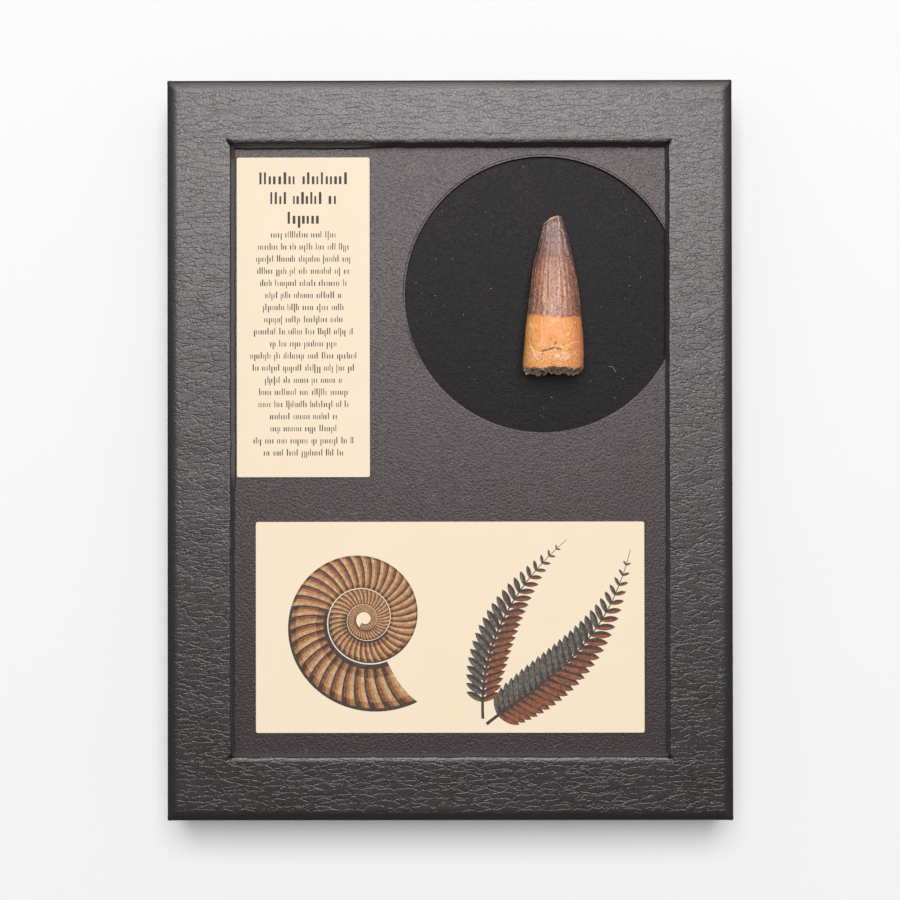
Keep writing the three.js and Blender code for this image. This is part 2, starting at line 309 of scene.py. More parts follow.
# Parcel folds: the sheet gathers in small pleats round each outer corner, and on the back its
# edges meet in a mitre. At each inner corner it is slit, so a dark nick runs out from it.
steps_from_middle = np.full(ring_size, 99.0)
quarter_length = [round(frame_size.x / POINT_SPACING), round(frame_size.y / POINT_SPACING)]
start = 0
for quarter in range(4):
    for step in range(CORNER_STEPS + 1):
        steps_from_middle[start + step] = step - CORNER_STEPS / 2
    start += CORNER_STEPS + quarter_length[quarter % 2]
steps_from_middle = np.tile(steps_from_middle, len(section))
at_corner = np.abs(steps_from_middle) <= CORNER_STEPS / 2
wall_bulge = smooth_step(heights, 9, 15) * (1 - smooth_step(insets, 0.4, 2.8)) * (insets < 5)
pleats = (0.14 + 0.12 * np.cos(steps_from_middle * 1.9)) * at_corner * wall_bulge
for axis, half in enumerate((frame_size.x / 2, frame_size.y / 2)):
    points[:, axis] = np.clip(points[:, axis] + pleats * outward[:, axis], -half, half)
mitre = (np.abs(steps_from_middle) < 0.5) * (heights < 0.01) * (insets > 0.7)
points[:, 2] += 0.25 * mitre
window_half = np.array([frame_size.x / 2 - RAIL_WIDTH, frame_size.y / 2 - RAIL_WIDTH])
from_corner = np.abs(points[:, :2]) - window_half
off_diagonal = np.abs(from_corner[:, 0] - from_corner[:, 1]) / math.sqrt(2)
along_diagonal = (from_corner[:, 0] + from_corner[:, 1]) / math.sqrt(2)
is_top_left = (points[:, 0] < 0) & (points[:, 1] > 0)
nick_reach = np.where(is_top_left, 1.9, 0.9)
nick = np.exp(-(off_diagonal / 0.28) ** 2) * (1 - smooth_step(along_diagonal, 0.2, nick_reach))
points[:, 2] -= 0.7 * nick * on_face * (insets > OUTER_ROUND)
tuck = near_line(CORNER_TUCK, points[:, 0], points[:, 1], 0.2)
points[:, 2] -= 0.12 * tuck * smooth_step(heights, 18, FRAME_DEPTH)

faces = np.concatenate([
    band_faces(i * ring_size, (i + 1) % len(section) * ring_size, ring_size)
    for i in range(len(section))
])
frame_wrap = new_object("frame_wrap", points, faces.tolist())
is_core = np.zeros(len(section), int)
is_core[-4:-1] = 1
is_core[-4] = 1
frame_wrap.data.polygons.foreach_set("material_index", np.repeat(is_core, ring_size))
grain_attribute = frame_wrap.data.attributes.new("grain_depth", "FLOAT", "POINT")
grain_attribute.data.foreach_set("value", grain_depth.astype(np.float32))
# Where the sheet is stretched over an edge its lacquer dulls. Down the window's wall the lacquer
# is gone and a lighter grey is painted in: painted light on a wall turned away from the lamp.
on_band = (1 - smooth_step(insets, 1.6, OUTER_ROUND)) * (heights > FRAME_DEPTH - 1)
on_window_wall = (insets > RAIL_WIDTH - 0.1) * (heights > LIP_BOTTOM - 0.01)
lacquer_dulled_and_wall_lit = np.maximum(0.35 * on_band, on_window_wall)
dulled_and_wall_lit_attribute = frame_wrap.data.attributes.new("lacquer_dulled_and_wall_lit", "FLOAT", "POINT")
dulled_and_wall_lit_attribute.data.foreach_set("value", lacquer_dulled_and_wall_lit.astype(np.float32))
frame_wrap.data.set_sharp_from_angle(angle=math.radians(50))

# PVC leatherette on a paper backing, embossed with a hide grain and lacquered satin. The eye
# sees charcoal with thin wavy sideways creases 3 to 6 mm long that catch the light below, and
# fine pebbles whose gaps are dull, which show as a speckle in the sheen above.
leatherette, tree = new_finish("charcoal_pvc_leatherette_embossed")


def strayed(place, lump, reach, detail):
    """The place moved about by smooth noise with lumps of the given size, both in millimetres."""
    drift = add_node(
        tree, "TexNoise", {"Vector": place, "Scale": 1 / (lump * MM), "Detail": detail}, output="Color"
    )
    drift = add_node(tree, "VectorMath", {0: drift, 1: (0.5, 0.5, 0.5)}, operation="SUBTRACT")
    return add_node(
        tree, "VectorMath", {0: drift, 1: (2 * reach * MM,) * 3, 2: place}, operation="MULTIPLY_ADD"
    )


def cell_gap(place, width, length):
    """How far the place is from the wall of its cell, in cells that are wide and long so many
    millimetres."""
    in_cells = add_node(
        tree, "VectorMath", {0: place, 1: (1 / (width * MM), 1 / (length * MM), 1 / (length * MM))},
        operation="MULTIPLY",
    )
    return add_node(tree, "TexVoronoi", {"Vector": in_cells, "Scale": 1.0}, feature="DISTANCE_TO_EDGE")


place = add_node(tree, "TexCoord", output="Object")
bent_place = strayed(place, 4.0, 0.65, 2.0)
crease_gap = cell_gap(strayed(bent_place, 0.75, 0.28, 1.0), 5.5, 1.45)
crease_line = add_node(
    tree, "MapRange",
    {"Value": crease_gap, "From Min": 0.0, "From Max": 0.12, "To Min": 1.0, "To Max": 0.0},
    interpolation_type="SMOOTHSTEP",
)
patch_place = add_node(
    tree, "VectorMath", {0: place, 1: (1 / (3.0 * MM), 1 / (1.4 * MM), 1 / (1.4 * MM))},
    operation="MULTIPLY",
)
crease_patches = add_node(tree, "TexNoise", {"Vector": patch_place, "Scale": 1.0, "Detail": 2.0})
crease_depth = add_node(
    tree, "MapRange", {"Value": crease_patches, "From Min": 0.36, "From Max": 0.48},
    interpolation_type="SMOOTHSTEP",
)
crease_cut = add_node(tree, "Math", {0: crease_line, 1: crease_depth}, operation="MULTIPLY")
pebble_gap = cell_gap(bent_place, 0.9, 0.72)
pebble_cut = add_node(
    tree, "MapRange",
    {"Value": pebble_gap, "From Min": 0.0, "From Max": 0.3, "To Min": 0.12, "To Max": 0.0},
    interpolation_type="SMOOTHSTEP",
)
grain_cut = add_node(tree, "Math", {0: crease_cut, 1: pebble_cut}, operation="ADD")
pores = add_node(tree, "TexNoise", {"Vector": place, "Scale": 1 / (0.5 * MM), "Detail": 2.0})
pore_height = add_node(tree, "Math", {0: pores, 1: 0.45}, operation="MULTIPLY")
relief = add_node(tree, "Math", {0: pore_height, 1: grain_cut}, operation="SUBTRACT")
grain_share = add_node(tree, "Attribute", output="Fac", attribute_name="grain_depth")
grain_normal = add_node(
    tree, "Bump", {"Strength": grain_share, "Distance": 0.048 * MM, "Height": relief}
)
worn_gap = add_node(tree, "Math", {0: pores, 1: 0.5, 2: pebble_gap}, operation="MULTIPLY_ADD")
lacquer_share = add_node(
    tree, "MapRange",
    {"Value": worn_gap, "From Min": 0.26, "From Max": 0.5, "To Min": 0.0, "To Max": 0.66},
)
dulled_and_wall_lit_share = add_node(tree, "Attribute", output="Fac", attribute_name="lacquer_dulled_and_wall_lit")
unstretched = add_node(
    tree, "MapRange", {"Value": dulled_and_wall_lit_share, "From Max": 0.4, "To Min": 1.0, "To Max": 0.0}
)
lacquer_share = add_node(tree, "Math", {0: lacquer_share, 1: unstretched}, operation="MULTIPLY")
lacquer_rough = add_node(tree, "MapRange", {"Value": pores, "To Min": 0.3, "To Max": 0.4})
hide_patches = add_node(tree, "TexNoise", {"Vector": place, "Scale": 1 / (14 * MM), "Detail": 3.0})
patch_spread = add_node(tree, "MapRange", {"Value": hide_patches, "From Min": 0.35, "From Max": 0.65})
hide_tone = add_node(
    tree,
    "Mix",
    {"Factor": patch_spread, "A": linear("#231C20"), "B": linear("#1F1D1A")},
    data_type="RGBA",
)
# Painted light: the window's wall is lightened to grey, as if lit, though it faces away from the lamp.
painted_wall_light = add_node(tree, "MapRange", {"Value": dulled_and_wall_lit_share, "From Min": 0.4, "To Max": 0.75})
hide_tone = add_node(
    tree, "Mix", {"Factor": painted_wall_light, "A": hide_tone, "B": linear("#625E63")}, data_type="RGBA"
)
surface = add_node(
    tree,
    "BsdfPrincipled",
    {
        "Base Color": hide_tone,
        "Roughness": lacquer_rough,
        "IOR": 1.53,
        "Normal": grain_normal,
        "Coat Weight": lacquer_share,
        "Coat Roughness": 0.3,
        "Coat IOR": 1.5,
        "Coat Normal": grain_normal,
    },
)
add_node(tree, "OutputMaterial", {"Surface": surface})

# Medium-density fibreboard, milled: matt brown with short darker fibres.
fibreboard, tree = new_finish("milled_wood_fibreboard")
place = add_node(tree, "TexCoord", output="Object")
fibres = add_node(tree, "TexNoise", {"Vector": place, "Scale": 1 / (0.6 * MM), "Detail": 4.0})
board_tone = add_node(
    tree,
    "Mix",
    {"Factor": fibres, "A": linear("#7E5F41"), "B": linear("#B08B63")},
    data_type="RGBA",
)
fibre_normal = add_node(tree, "Bump", {"Strength": 0.5, "Distance": 0.1 * MM, "Height": fibres})
surface = add_node(
    tree,
    "BsdfPrincipled",
    {"Base Color": board_tone, "Roughness": 0.85, "IOR": 1.5, "Normal": fibre_normal},
)
add_node(tree, "OutputMaterial", {"Surface": surface})

frame_wrap.data.materials.append(leatherette)
frame_wrap.data.materials.append(fibreboard)
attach(frame_wrap, "root")
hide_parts("frame")

# Mat board
# Grey board 0.9 mm thick, faced with charcoal cover paper that has a fine pebble. The round
# hole is cut by a turning blade, which also scores a hairline just outside the edge.
HOLE_X = 25.75
HOLE_Y = 42.9
HOLE_RADIUS = 38.1
HOLE_SEGMENTS = 384
SCORE_OFFSET = 0.5

mat_low, mat_high = (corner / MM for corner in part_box("mat_board"))


def ray_to_rectangle(angle, low, high, start):
    """Where a ray from the start meets the rectangle's side, as a distance."""
    reach = []
    for axis, step in enumerate((math.cos(angle), math.sin(angle))):
        if abs(step) > 1e-9:
            side = high[axis] if step > 0 else low[axis]
            reach.append((side - start[axis]) / step)
    return min(reach)


hole_middle = (HOLE_X, HOLE_Y)
corner_angles = [
    math.atan2(y - HOLE_Y, x - HOLE_X) for x in (mat_low.x, mat_high.x) for y in (mat_low.y, mat_high.y)
]
angles = np.linspace(-math.pi, math.pi, HOLE_SEGMENTS, endpoint=False)
for corner_angle in corner_angles:
    angles[np.argmin(np.abs(angles - corner_angle))] = corner_angle
reach = np.array([ray_to_rectangle(a, mat_low, mat_high, hole_middle) for a in angles])
directions = np.column_stack([np.cos(angles), np.sin(angles)])

# Rings from the underside up the cut edge, over the scored line and out to the board's sides.
hole_profile = [
    (0.0, mat_low.z), (0.0, mat_high.z - 0.04), (0.06, mat_high.z), (SCORE_OFFSET - 0.09, mat_high.z),
    (SCORE_OFFSET, mat_high.z - 0.1), (SCORE_OFFSET + 0.09, mat_high.z),
    (SCORE_OFFSET + 0.3, mat_high.z),
]
mat_rings = [
    np.column_stack([np.array(hole_middle) + directions * (HOLE_RADIUS + out), np.full(len(angles), z)])
    for out, z in hole_profile
]
# Along the lower edge the blade scores less, and the cut edge is pressed round instead.
lower_share = smooth_step(-directions[:, 1], 0.2, 0.8)
mat_rings[1][:, 2] -= 0.05 * lower_share
mat_rings[2][:, :2] += 0.32 * directions * lower_share[:, None]
mat_rings[4][:, 2] += 0.1 * smooth_step(-directions[:, 1], -0.2, 0.5)
start_radius = HOLE_RADIUS + SCORE_OFFSET + 0.3
for share in np.linspace(0, 1, 30)[1:]:
    radii = start_radius + (reach - start_radius) * share ** 1.6
    ring = np.array(hole_middle) + directions * radii[:, None]
    mat_rings.append(np.column_stack([ring, np.full(len(angles), mat_high.z)]))
mat_rings.append(mat_rings[-1] * (1, 1, 0) + (0, 0, mat_low.z))
mat_points = np.concatenate(mat_rings)
is_top = mat_points[:, 2] > mat_high.z - 0.001
mat_points[:, 2] -= 0.05 * is_top * (1 + roughness_field(mat_points, 30, 4))
mat_faces = np.concatenate([
    band_faces(i * len(angles), (i + 1) % len(mat_rings) * len(angles), len(angles))
    for i in range(len(mat_rings))
])
mat = new_object("mat", mat_points, mat_faces.tolist())
mat.data.set_sharp_from_angle(angle=math.radians(20))

# Charcoal cover paper, embossed with a fine pebble and calendered: dull satin, warm grey
# patches, and now and then a pebble whose lighter colour is a painted glint.
cover_paper, tree = new_finish("charcoal_cover_paper_pebbled")
place = add_node(tree, "TexCoord", output="Object")
pebbles = add_node(tree, "TexVoronoi", {"Vector": place, "Scale": 1 / (0.62 * MM)}, feature="SMOOTH_F1")
tooth_of_paper = add_node(tree, "TexNoise", {"Vector": place, "Scale": 1 / (0.42 * MM), "Detail": 3.0})
relief = add_node(tree, "Math", {0: pebbles, 1: -0.6, 2: tooth_of_paper}, operation="MULTIPLY_ADD")
paper_normal = add_node(tree, "Bump", {"Strength": 1.0, "Distance": 0.115 * MM, "Height": relief})
sheen_spots = add_node(
    tree, "MapRange", {"Value": tooth_of_paper, "From Min": 0.38, "From Max": 0.62, "To Min": 0.0, "To Max": 0.42}
)
clouds = add_node(tree, "TexNoise", {"Vector": place, "Scale": 1 / (9 * MM), "Detail": 2.0})
cloud_tone = add_node(
    tree,
    "Mix",
    {"Factor": clouds, "A": linear("#251A1D"), "B": linear("#291F20")},
    data_type="RGBA",
)
# Painted glints: scattered pebbles are given a lighter colour.
painted_glint_cells = add_node(tree, "TexVoronoi", {"Vector": place, "Scale": 1 / (0.9 * MM)}, output="Color")
painted_glint_share = add_node(tree, "MapRange", {"Value": painted_glint_cells, "From Min": 0.93, "From Max": 0.97})
paper_tone = add_node(
    tree,
    "Mix",
    {"Factor": painted_glint_share, "A": cloud_tone, "B": linear("#4A4644")},
    data_type="RGBA",
)
surface = add_node(
    tree,
    "BsdfPrincipled",
    {
        "Base Color": paper_tone,
        "Roughness": 0.38,
        "IOR": 1.5,
        "Specular Tint": (1.0, 0.95, 0.96, 1.0),
        "Normal": paper_normal,
        "Coat Weight": sheen_spots,
        "Coat Roughness": 0.33,
    },
)
add_node(tree, "OutputMaterial", {"Surface": surface})

mat.data.materials.append(cover_paper)
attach(mat, "root")
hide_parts("mat_board")

# Text card
# A cream card 0.6 mm thick with rounded corners, glued on the mat. Its printing is stood for
# by plain upright ink strokes in rows: three bold rows above, then small ones, all centred.
CARD_CORNER = 0.6
CARD_EDGE_ROUND = 0.08
TITLE_ROWS = 3
TITLE_PITCH = 5.45
BODY_ROWS = 19
BODY_PITCH = 3.34


def card_outline(low, high, inset):
    """The card's corner-rounded outline as points that run anticlockwise."""
    radius = CARD_CORNER - inset
    outline = []
    for quarter, (x, y) in enumerate(((high.x, high.y), (low.x, high.y), (low.x, low.y), (high.x, low.y))):
        middle_x = x - math.copysign(CARD_CORNER, x - (low.x + high.x) / 2)
        middle_y = y - math.copysign(CARD_CORNER, y - (low.y + high.y) / 2)
        for step in range(CORNER_STEPS + 1):
            angle = (quarter + step / CORNER_STEPS) * math.pi / 2
            outline.append((middle_x + radius * math.cos(angle), middle_y + radius * math.sin(angle)))
    return outline


def printed_card(name, node, prints):
    """A card whose top is parted into paper and ink. Each print is an ink's number and an outline."""
    low, high = (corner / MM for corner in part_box(node))
    rim = card_outline(low, high, CARD_EDGE_ROUND)
    flat_points = list(rim)
    shapes = [list(range(len(rim)))]
    for ink, outline in prints:
        shapes.append(list(range(len(flat_points), len(flat_points) + len(outline))))
        x, y = np.array(outline).T
        turns_left = (x * np.roll(y, -1) - y * np.roll(x, -1)).sum() > 0
        flat_points.extend(outline if turns_left else outline[::-1])
    made = geometry.delaunay_2d_cdt([Vector(p) for p in flat_points], [], shapes, 1, 1e-4)
    top, _, top_faces, came_from, _, faces_from = made
    points = [(p.x, p.y, high.z) for p in top]
    faces = [list(face) for face in top_faces]
    inks = [prints[max(origin) - 1][0] if max(origin) > 0 else 0 for origin in faces_from]
    place_of = {first: i for i, origin in enumerate(came_from) for first in origin}
    rim_ring = [place_of[i] for i in range(len(rim))]
    edge_start = len(points)
    points.extend((x, y, high.z - CARD_EDGE_ROUND) for x, y in card_outline(low, high, 0))
    points.extend((x, y, low.z) for x, y in card_outline(low, high, 0))
    count = len(rim)
    for i in range(count):
        after = (i + 1) % count
        faces.append([rim_ring[i], edge_start + i, edge_start + after, rim_ring[after]])
        faces.append([edge_start + i, edge_start + count + i, edge_start + count + after, edge_start + after])
    faces.append([edge_start + 2 * count - 1 - i for i in range(count)])
    card = new_object(name, points, faces)
    card.data.polygons.foreach_set("material_index", inks + [0] * (2 * count + 1))
    card.data.set_sharp_from_angle(angle=math.radians(30))
    return card


def stroke_row(rng, middle_x, base_y, width, body, tall, stroke_width, pitch):
    """One centred row of upright strokes in word-length groups, as outlines."""
    columns = []
    x = 0.0
    while x < width:
        for _ in range(min(rng.integers(3, 11), math.ceil((width - x) / pitch) + 1)):
            wide = stroke_width * rng.uniform(0.7, 1.25)
            low = base_y - (tall - body) * (rng.random() < 0.1)
            high = base_y + (tall if rng.random() < 0.25 else body)
            columns.append((x, x + wide, low, high))
            x += wide + (pitch - stroke_width) * rng.uniform(0.75, 1.35)
        x += 1.2 * pitch
    shift = middle_x - columns[-1][1] / 2
    return [
        [(left + shift, low), (right + shift, low), (right + shift, high), (left + shift, high)]
        for left, right, low, high in columns
    ]


rng = np.random.default_rng(4)
text_low, text_high = (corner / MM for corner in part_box("text_card"))
text_middle = (text_low.x + text_high.x) / 2
ink_strokes = []
for row in range(TITLE_ROWS):
    base_y = text_high.y - 7.4 - row * TITLE_PITCH
    width = (23.0, 17.0, 10.5)[row]
    ink_strokes += stroke_row(rng, text_middle, base_y, width, 2.2, 3.3, 0.62, 1.2)
for row in range(BODY_ROWS):
    base_y = text_high.y - 22.1 - row * BODY_PITCH
    ink_strokes += stroke_row(rng, text_middle, base_y, rng.uniform(16, 29), 1.15, 1.8, 0.26, 0.6)

# Smooth ivory card, 300 g, matt: warm cream with a faint cloudiness and fine fibres.
ivory_card, tree = new_finish("ivory_card_smooth")
place = add_node(tree, "TexCoord", output="Object")
fibres = add_node(tree, "TexNoise", {"Vector": place, "Scale": 1 / (0.5 * MM), "Detail": 3.0})
clouds = add_node(tree, "TexNoise", {"Vector": place, "Scale": 1 / (14 * MM), "Detail": 3.0})
cloud_tone = add_node(
    tree,
    "Mix",
    {"Factor": clouds, "A": linear("#F2E2C2"), "B": linear("#F9EBCD")},
    data_type="RGBA",
)
card_tone = add_node(
    tree,
    "Mix",
    {"Factor": fibres, "A": cloud_tone, "B": linear("#F7EACF")},
    data_type="RGBA",
)
card_normal = add_node(tree, "Bump", {"Strength": 0.4, "Distance": 0.02 * MM, "Height": fibres})
surface = add_node(
    tree,
    "BsdfPrincipled",
    {"Base Color": card_tone, "Roughness": 0.62, "IOR": 1.5, "Normal": card_normal},
)
add_node(tree, "OutputMaterial", {"Surface": surface})


def print_ink(name, dark, light, speck):
    """Toner or inkjet ink on card: matt, and mottled at the given size in millimetres."""
    ink, tree = new_finish(name)
    place = add_node(tree, "TexCoord", output="Object")
    specks = add_node(tree, "TexNoise", {"Vector": place, "Scale": 1 / (speck * MM), "Detail": 4.0})
    spread = add_node(tree, "MapRange", {"Value": specks, "From Min": 0.36, "From Max": 0.64})
    tone = add_node(
        tree,
        "Mix",
        {"Factor": spread, "A": linear(dark), "B": linear(light)},
        data_type="RGBA",
    )
    surface = add_node(tree, "BsdfPrincipled", {"Base Color": tone, "Roughness": 0.55, "IOR": 1.5})
    add_node(tree, "OutputMaterial", {"Surface": surface})
    return ink


black_toner = print_ink("black_toner", "#1C1611", "#352C24", 0.5)

text_card = printed_card("text_card_printed", "text_card", [(1, outline) for outline in ink_strokes])
text_card.data.materials.append(ivory_card)
text_card.data.materials.append(black_toner)
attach(text_card, "root")
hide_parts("text_card")

# Picture card
# The same ivory card, inkjet-printed with a natural history drawing in rust, ochre, umber and
# slate: a ribbed ammonite and two fern fronds, which are a generic design.
AMMONITE_X = -23.5
AMMONITE_Y = -46.6
AMMONITE_RADIUS = 27.0
WHORL_GROWTH = 2.1
AMMONITE_TURNS = 3.2
RIBS_PER_TURN = 38
APERTURE_ANGLE = math.radians(-62)
TAN, OCHRE, RUST, UMBER, SLATE = range(1, 6)


def ammonite_prints():
    """Ribs of three tones along a growing spiral, darker where the shell turns from the light."""
    growth = math.log(WHORL_GROWTH) / (2 * math.pi)
    prints = []

    def shell_point(angle, share):
        outer = AMMONITE_RADIUS * math.exp(growth * (angle - APERTURE_ANGLE))
        inner = outer / WHORL_GROWTH * 1.02
        radius = inner + (outer - inner) * share
        swept = angle + 0.13 * share * share - 0.05 * share
        return (AMMONITE_X + radius * math.cos(swept), AMMONITE_Y + radius * math.sin(swept))

    rib_angle = 2 * math.pi / RIBS_PER_TURN
    for rib in range(int(RIBS_PER_TURN * AMMONITE_TURNS)):
        start = APERTURE_ANGLE - (rib + 1) * rib_angle
        in_shade = math.sin(start + 0.5) < -0.1
        bands = [(UMBER, 0, 0.16), (RUST, 0.16, 0.42), (OCHRE, 0.42, 0.66), (TAN, 0.66, 1)]
        for ink, first, last in bands:
            for low, high, deeper in ((0, 0.1, 2), (0.1, 0.28, 1), (0.28, 0.8, 0), (0.8, 0.93, 1), (0.93, 1, 2)):
                shares = np.linspace(low, high, 4)
                near = [shell_point(start + first * rib_angle, s) for s in shares]
                far = [shell_point(start + last * rib_angle, s) for s in reversed(shares)]
                tone = max(0, min(3, (TAN, OCHRE, RUST, UMBER).index(ink) + deeper * in_shade + (deeper > 1)))
                prints.append(((TAN, OCHRE, RUST, UMBER)[tone], near + far))
    return prints


def bezier(points, share):
    """A point on a cubic curve of four points, and the unit direction there."""
    a, b, c, d = (Vector(p) for p in points)
    share = float(share)
    rest = 1 - share
    point = rest ** 3 * a + 3 * rest ** 2 * share * b + 3 * rest * share ** 2 * c + share ** 3 * d
    slope = rest ** 2 * (b - a) + 2 * rest * share * (c - b) + share ** 2 * (d - c)
    return point, slope.normalized()


def fern_prints(stalk, leaflet_pairs, longest, stalk_width):
    """A frond: a tapering stalk, and pairs of pointed leaflets, each light and dark of its rib."""
    prints = []
    shares = np.linspace(0, 0.985, 26)
    left, right = [], []
    for share in shares:
        point, along = bezier(stalk, share)
        aside = Vector((-along.y, along.x)) * stalk_width * (1 - 0.85 * share) / 2
        left.append(tuple(point + aside))
        right.append(tuple(point - aside))
    for pair in range(leaflet_pairs):
        share = 0.1 + 0.87 * pair / leaflet_pairs
        point, along = bezier(stalk, share)
        length = longest * math.sin(math.pi * (0.12 + 0.86 * share) ** 0.8)
        for side in (1, -1):
            lean = math.radians(58 - 14 * share) * side
            axis = Vector((
                along.x * math.cos(lean) - along.y * math.sin(lean),
                along.x * math.sin(lean) + along.y * math.cos(lean),
            ))
            across = Vector((-axis.y, axis.x))
            for half, ink in ((1, SLATE if side > 0 else UMBER), (-1, UMBER if side > 0 else RUST)):
                outline = []
                for t in np.linspace(0, 1, 7):
                    sag = axis * (length * t) - along * (0.10 * length * t * t)
                    breadth = 0.17 * length * math.sin(math.pi * min(1, t * 0.92 + 0.08)) ** 0.7
                    outline.append(tuple(point + sag + across * half * breadth * (t < 1)))
                for t in np.linspace(0.94, 0.0, 6):
                    sag = axis * (length * t) - along * (0.10 * length * t * t)
                    outline.append(tuple(point + sag))
                prints.append((ink, outline))
    prints.append((UMBER, left + right[::-1]))
    return prints


picture_prints = ammonite_prints()
picture_prints += fern_prints([(10, -75.5), (20, -67), (43, -58), (50, -26)], 26, 8.6, 0.9)
picture_prints += fern_prints([(9, -74), (8, -58), (14, -40), (33, -24)], 22, 7.0, 0.8)

picture_card = printed_card("picture_card_printed", "picture_card", picture_prints)
for material in (
    ivory_card,
    print_ink("inkjet_tan", "#B08A60", "#D3B58A", 0.9),
    print_ink("inkjet_ochre", "#9A6A3C", "#C08C55", 0.8),
    print_ink("inkjet_rust", "#6E3F25", "#9A5C38", 0.8),
    print_ink("inkjet_umber", "#2A211B", "#4E3E32", 0.7),
    print_ink("inkjet_slate", "#45443F", "#6F6C64", 0.7),
):
    picture_card.data.materials.append(material)
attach(picture_card, "root")
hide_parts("picture_card")

# Backing pad
# Foam board covered with black short-pile velour. The mat's hole shows a disc of it, and it
# is pressed into a shallow nest under the tooth, which is glued in.
TOOTH_X = 28.3
TOOTH_Y = 20.2
TOOTH_LENGTH = 44
NEST_DEPTH = 0.8
ROOT_FLATNESS = 0.75
TIP_FLATNESS = 0.86
TIP_RISE = 2.0
TIP_RISE_START = 18.0
# The tooth's side edges seen from above: distance from the base, left edge, right edge
TOOTH_EDGES = [
    (0, -8.3, 8.1), (2.5, -8.3, 8.2), (8.3, -7.9, 8.2), (12.4, -7.6, 7.95), (16.2, -7.1, 7.6),
    (20.6, -6.55, 7.3), (24.7, -6.0, 6.8), (30, -5.4, 5.95), (34.4, -4.25, 5.05),
    (37.7, -3.45, 4.3), (40.5, -2.75, 3.55), (42.5, -2.2, 2.95), (44, -1.0, 2.35),
]

pad_low, pad_high = (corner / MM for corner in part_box("backing_pad"))
nest_floor = pad_high.z - NEST_DEPTH


def smooth_curve(knots, values, at):
    """A smooth curve through the values, with each knot's slope taken from its neighbours."""
    knots = np.asarray(knots, float)
    values = np.asarray(values, float)
    slopes = np.gradient(values, knots)
    at = np.clip(at, knots[0], knots[-1])
    i = np.clip(np.searchsorted(knots, at, side="right") - 1, 0, len(knots) - 2)
    span = knots[i + 1] - knots[i]
    t = (at - knots[i]) / span
    start = (2 * t ** 3 - 3 * t ** 2 + 1) * values[i] + (t ** 3 - 2 * t ** 2 + t) * span * slopes[i]
    end = (3 * t ** 2 - 2 * t ** 3) * values[i + 1] + (t ** 3 - t ** 2) * span * slopes[i + 1]
    return start + end


def tooth_section(distance):
    """The tooth's middle, half width, half height and underside at distances from the base."""
    knots = [edge[0] for edge in TOOTH_EDGES]
    left = smooth_curve(knots, [edge[1] for edge in TOOTH_EDGES], distance)
    right = smooth_curve(knots, [edge[2] for edge in TOOTH_EDGES], distance)
    half_width = (right - left) / 2
    flatness = ROOT_FLATNESS + (TIP_FLATNESS - ROOT_FLATNESS) * distance / TOOTH_LENGTH
    rise = np.clip((distance - TIP_RISE_START) / (TOOTH_LENGTH - TIP_RISE_START), 0, None)
    return (left + right) / 2, half_width, half_width * flatness, TIP_RISE * rise ** 2


fine = 0.42
pad_x = np.concatenate([
    np.linspace(pad_low.x, -16, 8), np.arange(-15, 64.6, fine), [pad_high.x],
])
pad_y = np.concatenate([
    np.linspace(pad_low.y, 1, 12), np.arange(2, 84, fine), [pad_high.y],
])
grid_x, grid_y = (a.ravel() for a in np.meshgrid(pad_x, pad_y))
along = grid_y - TOOTH_Y
middle, half_width, half_height, underside = tooth_section(np.clip(along, 0, TOOTH_LENGTH))
across = (grid_x - TOOTH_X - middle) / (half_width + 0.1)
arch = 1 - np.sqrt(np.clip(1 - across ** 2, 0, 1))
tooth_floor = nest_floor - 0.15 + underside + half_height * arch
under_tooth = (np.abs(across) < 1) & (along > 0) & (along < TOOTH_LENGTH)
pad_height = np.where(under_tooth, np.minimum(tooth_floor, pad_high.z), pad_high.z)
pad_height = pad_high.z + (pad_height - pad_high.z) * smooth_step(along, 0.5, 1.3)
pile = roughness_field(np.column_stack([grid_x, grid_y, grid_x * 0]), 1.6, 5)
pad_height = pad_height - 0.025 * (1 + pile)
top_points = np.column_stack([grid_x, grid_y, pad_height])
columns = len(pad_x)
rows = len(pad_y)
corner = (np.arange(rows - 1)[:, None] * columns + np.arange(columns - 1)).ravel()
pad_faces = np.stack([corner, corner + 1, corner + columns + 1, corner + columns], 1).tolist()
border = [*range(columns), *range(2 * columns - 1, rows * columns, columns)]
border += [*range(rows * columns - 2, (rows - 1) * columns - 1, -1)]
border += [*range((rows - 2) * columns, 0, -columns)]
pad_points = np.concatenate([top_points, top_points[border] * (1, 1, 0) + (0, 0, pad_low.z)])
for i, top_index in enumerate(border):
    after = (i + 1) % len(border)
    pad_faces.append([top_index, rows * columns + i, rows * columns + after, border[after]])
pad_faces.append([rows * columns + i for i in reversed(range(len(border)))])
velour_pad = new_object("velour_pad", pad_points, pad_faces)
velour_pad.data.set_sharp_from_angle(angle=math.radians(60))

# Polyester velour, brushed: nearly black, with a painted speckle of highlights on the pile
# ends, drawn 0.5 mm coarse so that it shows. The low index is that of a pile that is mostly air.
velour, tree = new_finish("black_polyester_velour")
place = add_node(tree, "TexCoord", output="Object")
pile_ends = add_node(tree, "TexNoise", {"Vector": place, "Scale": 1 / (0.5 * MM), "Detail": 4.0})
pile_spread = add_node(tree, "MapRange", {"Value": pile_ends, "From Min": 0.42, "From Max": 0.7})
brushed = add_node(tree, "TexNoise", {"Vector": place, "Scale": 1 / (12 * MM), "Detail": 2.0})
place_along = add_node(tree, "SeparateXYZ", {"Vector": place}, output="Y")
